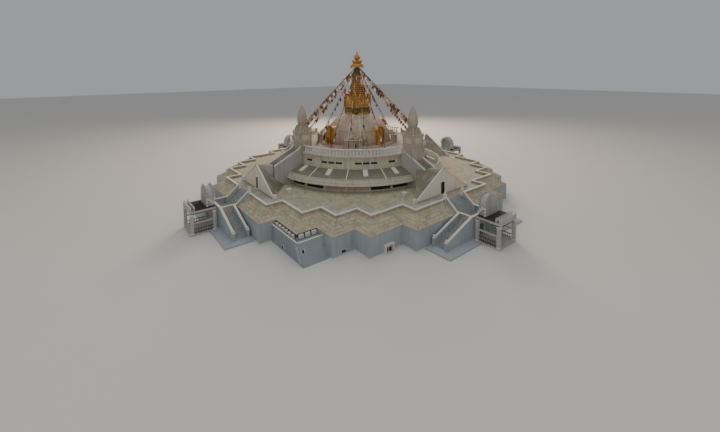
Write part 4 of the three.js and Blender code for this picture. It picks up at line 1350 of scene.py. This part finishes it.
@dataclass
class Stairs:
    """Upper and lower flights with their copings, newels, nosings and the arch of the passage."""

    half: float = 0.282
    cheek: float = 0.040
    head: float = 3.332
    walkway: float = 0.585
    head_rise: float = 0.135
    landing_start: float = 3.688
    landing_end: float = 4.014
    landing: float = 0.330
    cheek_rise: float = 0.127
    flight_foot: float = 1.110
    newel: float = 0.060
    newel_top: float = 0.177
    apron: float = 0.030
    upper_steps: int = 13
    lower_steps: int = 16
    arch_radii: Span = (0.122, 0.1002)
    arch_spring: float = 0.165

    def coping(self, start: Point, end: Point) -> Piece:
        """Makes the coping of a cheek between two points."""
        return bar(start, end, 0.050, 0.009)

    def build(self) -> None:
        """Builds the copings, newels and knobs, and dresses the solids."""
        paint_nodes(STAIR_COAT, "upper_stair", ON_SIDES)
        paint_nodes(STAIR_COAT, "lower_stair", ON_SIDES)
        top, head_top = self.landing + self.cheek_rise, self.walkway + self.head_rise
        start, end = self.landing_start - self.cheek, self.landing_end - self.cheek / 2
        post = self.head + 0.02
        parts, knobs = [self.coping((end, -self.half, top), (end, self.half, top))], []
        for side in SIDES:
            at, outer = side * (self.half + self.cheek / 2), side * (self.half + self.cheek)
            foot = side * (self.flight_foot + 0.020 - self.newel / 2)
            newel_face = foot - side * self.newel / 2
            parts += [self.coping((self.head, at, head_top), (start, at, top)),
                      self.coping((start, at, top), (self.landing_end + 0.004, at, top)),
                      block((post - 0.030, at - 0.030, self.walkway + GAP),
                            (post + 0.030, at + 0.030, head_top + 0.022), SOFT)]
            knobs.append(spot(post, at, head_top + 0.022))
            for line in (self.landing_start + SEAT + self.cheek / 2, end):
                parts += [self.coping((line, outer, top), (line, newel_face, self.newel_top + 0.012)),
                          block((line - 0.030, foot - 0.034, self.newel_top),
                                (line + 0.030, foot + 0.034, self.newel_top + 0.016), SOFT)]
                knobs.append(spot(line, foot, self.newel_top + 0.016))
        knob = [(0, 0), (0.026, 0), (0.014, 0.010), (0.024, 0.030), (0.012, 0.050), (0, 0.056)]
        dress_four("stair_copings", [*parts, repeated(turned(knob, 10), knobs)], COPING)
        self.build_nosings()
        rim = arch(self.landing_end, self.arch_radii, self.arch_spring, self.apron + GAP, 0.010, 12)
        dress_four("passage_arches", [rim], COPING)

    def build_nosings(self) -> None:
        """Builds the nosing of each tread."""
        back, front, low, high, bevel = -0.007, 0.0015, -0.0005, 0.0022, 0.0006
        run = (self.landing_start - self.head) / self.upper_steps
        rise = (self.walkway - self.landing) / self.upper_steps
        upper = block((back, INSET - self.half, low), (front, self.half - INSET, high), bevel)
        nosings = [repeated(upper, [spot(self.head + run * (step + 1), 0, self.walkway - rise * step)
                                    for step in range(self.upper_steps)])]
        inner = self.half + self.cheek - INSET
        run = (self.flight_foot - inner) / self.lower_steps
        rise = (self.landing - self.apron) / self.lower_steps
        start, end = self.landing_start + self.cheek + INSET, self.landing_end - self.cheek - INSET
        for side in SIDES:
            near, far = sorted((side * back, side * front))
            places = [spot(0, side * (inner + run * (step + 1)), self.landing - rise * step)
                      for step in range(self.lower_steps)]
            nosings.append(repeated(block((start, near, low), (end, far, high), bevel), places))
        dress_four("tread_nosings", nosings, HOOD_COAT)


@dataclass
class Pavilions:
    """Entrance pavilions with their roofs, arched gables, rails and finials."""

    inner: float = 4.083
    outer: float = 4.588
    half: float = 0.306
    post: float = 0.060
    floor: float = 0.030
    roof_foot: float = 0.450
    upstand: float = 0.512
    rail_top: float = 0.560
    hood_outer: float = 4.250
    hood_half: float = 0.200
    hood_top: float = 0.900
    leaf_half: tuple[Point, ...] = ((0, -0.030, 0), (0, -0.034, 0.020), (0, -0.016, 0.040), (0, 0, 0.062))

    def build(self) -> None:
        """Builds the roof felt and edge, and dresses the solids."""
        paint_nodes(HOOD_COAT, "pavilion", ON_SIDES)
        low, high = self.upstand + SEAT, self.upstand + 0.006
        reach, hood = self.half - 0.003, self.hood_half + 0.002
        felt = [block((self.hood_outer + 0.002, -reach, low), (self.outer - 0.091, reach, high), FINE)]
        felt += [block((self.inner + 0.002, near, low), (self.hood_outer + 0.004, far, high), FINE)
                 for near, far in ((-reach, -hood), (hood, reach))]
        dress_four("pavilion_roof_felt", felt, FELT)
        edge = block((self.inner - 0.003, -self.half - 0.008, self.roof_foot + 0.004),
                     (self.outer - 0.002, self.half + 0.008, self.roof_foot + 0.016))
        dress_four("pavilion_roof_edge", [edge], TIMBER)
        self.build_leaves()
        self.build_posts()
        self.build_rails()

    def build_leaves(self) -> None:
        """Builds the scalloped leaves round the arched gable and the finials on the rails."""
        spring, reach, front = self.hood_top - self.hood_half, self.hood_half - 0.004, self.hood_outer - 0.022
        arched = [spot(depth, -math.cos(at) * reach, spring + math.sin(at) * reach) @ tilt(math.pi / 2 - at)
                  for at in (math.pi * (index + 0.5) / 9 for index in range(9))
                  for depth in (self.inner + 0.004, front)]
        dress_four("hood_leaves", [repeated(leaf(self.leaf_half, 0.016, EDGE), arched)], HOOD_COAT, angle=40)
        on_flank = [spot(front, side * (self.hood_half - 0.006), level) @ tilt(-side * math.pi / 2)
                    for side in SIDES for level in (0.53, 0.60, 0.67)]
        on_roof = [spot(self.inner + depth, side * self.hood_half, level) @ turn_to(side * 90) @ tilt(0.7)
                   for side in SIDES for depth, level in ((0.020, 0.545), (0.060, 0.600), (0.105, 0.640))]
        finial = [(0, 0), (0.013, 0), (0.008, 0.010), (0.013, 0.022), (0.005, 0.038), (0, 0.056)]
        finials = [spot(x, (self.half - 0.02) * (index / 5 - 1), self.rail_top - 0.001)
                   for index in range(11) for x in (self.outer - 0.083, self.outer - 0.0145)]
        parts = [repeated(leaf(self.leaf_half, 0.016, EDGE), on_flank),
                 repeated(leaf(self.leaf_half, 0.014, EDGE), on_roof), repeated(turned(finial, 8), finials)]
        dress_four("pavilion_leaves", parts, ORNAMENT, angle=40)

    def build_posts(self) -> None:
        """Builds the bases and capitals of the posts."""
        caps, line = [], self.half - self.post / 2
        rises = ((self.floor + SEAT, 0.052, 0.006), (0.415, 0.430, 0.004),
                 (0.430, self.roof_foot - SEAT, 0.008))
        for x in (self.inner + self.post / 2, self.outer - self.post / 2):
            for low, high, grow in rises:
                reach = self.post / 2 + grow
                near, far = max(x - reach, self.inner - 0.005), min(x + reach, self.outer + 0.006)
                caps += [block((near, side * line - reach, low), (far, side * line + reach, high))
                         for side in SIDES]
        dress_four("pavilion_capitals", caps, ORNAMENT)

    def build_rails(self) -> None:
        """Builds the dark rails between the posts and the beam under the roof."""
        start, end = self.inner + self.post + INSET, self.outer - self.post - INSET
        line, beam_half = self.half - self.post / 2, self.half - self.post - INSET
        rail = [block((start, -0.008, level), (end, 0.008, level + 0.010), FINE) for level in (0.055, 0.125)]
        upright = block((start - 0.004, -0.004, 0.031), (start + 0.004, 0.004, 0.128), FINE)
        rail.append(repeated(upright, [spot((end - start) * index / 8, 0, 0) for index in range(1, 8)]))
        rails = repeated(joined(rail), [spot(0, side * line, 0) for side in SIDES])
        beam = block((self.outer - 0.052, -beam_half, 0.400), (self.outer - 0.036, beam_half, 0.4495), FINE)
        dress_four("pavilion_rails", [rails, beam], TIMBER)


@dataclass
class Annex:
    """Annex beside the south stair, with its windows, door, merlons and carved strip."""

    west: float = 1.5113
    east_foot: float = 2.780
    east_top: float = 2.560
    south: float = -3.388
    top: float = 0.345
    roof_top: float = 0.318
    strip_line: float = -3.2803
    inner: float = 2.3403
    corner_line: float = -2.8533
    round_window: Span = (1.990, 0.066)
    round_radius: float = 0.034
    window_rise: Span = (0.190, 0.238)
    window_span: Span = (-3.345, -3.295)
    door_rise: Span = (0.030, 0.220)
    door_span: Span = (-2.960, -2.890)

    def east_at(self, height: float) -> float:
        """Returns the place of the leaning east wall at a height."""
        return self.east_foot + (self.east_top - self.east_foot) * height / self.top

    def on_slope(self, rise: Span, span: Span, depths: Span, gap: float = 0.0, bevel: float = 0.0) -> Piece:
        """Makes a slab that leans with the east wall and fills an opening.

        Args:
            rise: Heights of the opening's foot and top.
            span: Places of its two ends along Y.
            depths: Distance of the slab's two faces from the wall, outwards.
            gap: Clearance all round the slab.
            bevel: Width of the bevel on its edges.

        Returns:
            The new piece.
        """
        (low, high), (near, far), (first, second) = rise, span, depths
        corners = ((low, gap, first), (low, gap, second), (high, -gap, second), (high, -gap, first))
        points = [(self.east_at(height) + depth, near + gap, height + inset)
                  for height, inset, depth in corners]
        return pulled(points, (0, far - near - 2 * gap, 0), bevel)

    def build(self) -> None:
        """Builds the coping, merlons, painted shade behind the merlons and on the roof, and carved strip, and
        dresses the solid.
        """
        paint_nodes(ANNEX_COAT, "annex")
        west, inner, line, end = self.west, self.inner, self.strip_line, self.corner_line
        south, east, top, roof = self.south + 0.009, self.east_top - 0.009, self.top, self.roof_top + SEAT
        coping = [bar((west, south, top), (self.east_top, south, top), 0.026, 0.008),
                  bar((east, self.south, top), (east, end, top), 0.026, 0.008)]
        dress("annex_coping", joined(coping), COPING)
        on_south = block((-0.035, line - 0.050, roof), (0.035, line - 0.014, top + 0.040), SOFT)
        on_west = block((inner + 0.014, -0.050, roof), (inner + 0.050, 0.050, top + 0.050), SOFT)
        merlons = [repeated(on_south, [spot(west + 0.10 + index * 0.130, 0, 0) for index in range(6)]),
                   repeated(on_west, [spot(0, line + 0.075 + index * 0.135, 0) for index in range(3)])]
        dress("annex_merlons", joined(merlons), ORNAMENT)
        # Painted shade: dark backing behind the merlons and thin dark sheets on the roof stand in for the
        # shade there
        shade_sheet_top = self.roof_top + 0.003
        shade_backing = [block((west + 0.02, line - 0.014, roof), (inner - 0.01, line - 0.002, top + 0.046), FINE),
                  block((inner + 0.002, line, roof), (inner + 0.014, end - 0.01, top + 0.056), FINE),
                  block((west + 0.02, self.south + 0.020, roof), (inner + 0.10, line - 0.050, shade_sheet_top), HAIR),
                  block((inner + 0.050, line - 0.05, roof), (inner + 0.066, end - 0.01, shade_sheet_top), HAIR)]
        dress("annex_painted_shade", joined(shade_backing), TIMBER)
        corners = ((0.305, -0.02), (0.02, -0.03), (0.02, -0.13), (0.305, -0.13))
        outline = [(self.east_at(height) + depth, self.south - 0.008, height) for height, depth in corners]
        dress("annex_carved_strip", pulled(outline, (0, 0.0078, 0), FINE), CARVED)
        self.build_windows()

    def build_windows(self) -> None:
        """Builds the round window, the small window and the door."""
        radius, (x, z), (near, far) = self.round_radius, self.round_window, self.window_span
        lay = spot(x, self.south, z) @ tilt(math.pi / 2)
        disc = [(0, -0.003), (radius - 0.001, -0.003), (radius - 0.001, 0.0005), (radius + 0.009, 0.0005),
                (radius + 0.009, 0.004), (0, 0.004)]
        panes = [placed(turned(disc, 28), lay),
                 self.on_slope(self.window_rise, self.window_span, (-0.012, -0.018), GAP)]
        dress("annex_panes", joined(panes), GLASS)
        door = self.on_slope(self.door_rise, self.door_span, (-0.014, -0.021), SEAT)
        dress("annex_door", door, ANNEX_COAT)
        frames = [placed(hoop(radius + 0.008, radius + 0.015, (0, 0.007), 28), lay)]
        frames += [self.on_slope((0.182, 0.246), span, (-0.008, 0.006), bevel=FINE)
                   for span in ((near - 0.008, near), (far, far + 0.008))]
        dress("annex_window_frames", joined(frames), COPING)


@dataclass
class FlagRows:
    """Rows of small flags that hang from the lines between the spire and the terrace."""

    tie_radius: float = 0.082
    tie_height: float = 3.440
    foot_radius: float = 1.898
    foot_height: float = 1.5045
    offsets: tuple[float, ...] = (18.0, 31.5, 45.0, 58.5, 72.0)
    flags: int = 30
    width: float = 0.070
    drop: float = 0.085
    seed: int = 7

    def build(self) -> None:
        """Builds one row of flags for each line and dresses the lines."""
        paint_nodes(TIMBER, "flag_lines")
        source = random.Random(self.seed)
        for turn, quadrant in enumerate(QUADRANT_NAMES):
            for number, offset in enumerate(self.offsets, start=1):
                row = self.row(90 * turn + offset, source)
                dress(f"flag_row_{quadrant}_{number}", row, CLOTH)

    def row(self, degrees: float, source: random.Random) -> Piece:
        """Makes the flags of one line.

        Args:
            degrees: Angle of the line about the vertical axis.
            source: Source of the small differences between flags.

        Returns:
            The joined flags.
        """
        start = Vector((self.tie_radius, 0, self.tie_height))
        along = Vector((self.foot_radius, 0, self.foot_height)) - start
        step, downwards = along.normalized(), Vector((0, 0, -1))
        square = downwards - step * step.dot(downwards)
        fall = (square.normalized() + downwards).normalized()
        flags = []
        for index in range(self.flags):
            clear_selection()
            bpy.ops.mesh.primitive_grid_add(x_subdivisions=2, y_subdivisions=3, size=1)
            flag = bpy.context.object
            place = start + along * (0.02 + 0.95 * (index + 0.5) / self.flags)
            sway, curl = source.uniform(-0.4, 0.4), source.uniform(-0.010, 0.010)
            twist = source.uniform(-0.9, 0.9)
            for vertex in flag.data.vertices:
                across, down = vertex.co.x, 0.5 - vertex.co.y
                reach = Matrix.Rotation(twist * down, 3, "Z") @ step * (across * self.width)
                point = place + reach + fall * (0.003 + down * self.drop)
                point.y += down * self.drop * sway + curl * math.sin(math.pi * (across + 0.5)) * down
                vertex.co = point
            tones = flag.data.attributes.new("flag_tone", "FLOAT", "POINT")
            value = (source.randrange(len(CLOTH.colours)) + 0.5) / len(CLOTH.colours)
            tones.data.foreach_set("value", [value] * len(flag.data.vertices))
            flags.append(flag)
        return placed(joined(flags), turn_to(degrees))


@dataclass
class Studio:
    """Camera, lights and floor."""

    image_width: int = 720
    focal_pixels: float = 349.957
    place: Point = (7.879, -6.236, 3.340)
    heading: Span = (-0.7793, 0.6267)
    down: float = 0.063
    roll: float = -0.007
    shift: float = -0.1698
    floor_level: float = -0.0015

    def build(self) -> None:
        """Builds the camera, the lights and the floor."""
        data = bpy.data.cameras.new("camera")
        camera = bpy.data.objects.new("camera", data)
        bpy.context.collection.objects.link(camera)
        data.sensor_width = 36.0
        data.lens = self.focal_pixels / self.image_width * data.sensor_width
        data.shift_y = self.shift
        data.clip_end = 200.0
        level = math.cos(self.down)
        forward = Vector((self.heading[0] * level, self.heading[1] * level, -math.sin(self.down)))
        turn = forward.to_track_quat("-Z", "Y").to_matrix().to_4x4() @ Matrix.Rotation(self.roll, 4, "Z")
        camera.matrix_world = Matrix.Translation(self.place) @ turn
        bpy.context.scene.camera = camera
        self.build_lights()
        clear_selection()
        bpy.ops.mesh.primitive_plane_add(size=120.0)
        floor = placed(bpy.context.object, spot(0, 0, self.floor_level))
        floor.name = "floor"
        finish = bpy.data.materials.new("studio_floor")
        finish.use_nodes = True
        tree = finish.node_tree
        Board(tree).fill(tree.nodes["Principled BSDF"], {"Base Color": tone("d9d6d1"), "Roughness": 0.9})
        floor.data.materials.append(finish)

    def build_lights(self) -> None:
        """Builds three soft lights and the pale surroundings."""
        for name, place, size, power, colour in (
                ("back_light", (-9.0, 7.5, 8.0), 8.0, 1500.0, (1.0, 0.80, 0.60)),
                ("front_light", (9.5, -9.0, 9.0), 9.0, 330.0, (0.88, 0.94, 1.0)),
                ("top_light", (0.0, 0.0, 12.0), 10.0, 260.0, (1.0, 0.96, 0.92))):
            data = bpy.data.lights.new(name, "AREA")
            data.size, data.energy, data.color = size, power, colour
            light = bpy.data.objects.new(name, data)
            light.location = place
            light.rotation_mode = "QUATERNION"
            light.rotation_quaternion = (Vector((0, 0, 1.0)) - Vector(place)).to_track_quat("-Z", "Y")
            bpy.context.collection.objects.link(light)
        world = bpy.data.worlds.new("surroundings")
        world.use_nodes = True
        tree = world.node_tree
        Board(tree).fill(tree.nodes["Background"], {"Color": (0.86, 0.88, 0.92, 1.0), "Strength": 0.42})
        bpy.context.scene.world = world


def main() -> None:
    """Builds the studio and every sub-assembly in order."""
    logging.basicConfig(level=logging.INFO, format="%(name)s %(message)s")
    for part in (Studio(), BasePlan(), RingGallery(), DrumAndTerrace(), Dome(), Crown(), PierSpires(),
                 Wings(), Stairs(), Pavilions(), Annex(), FlagRows()):
        part.build()
        LOG.info("%s built", type(part).__name__)
    clear_selection()


if __name__ == "__main__":
    main()
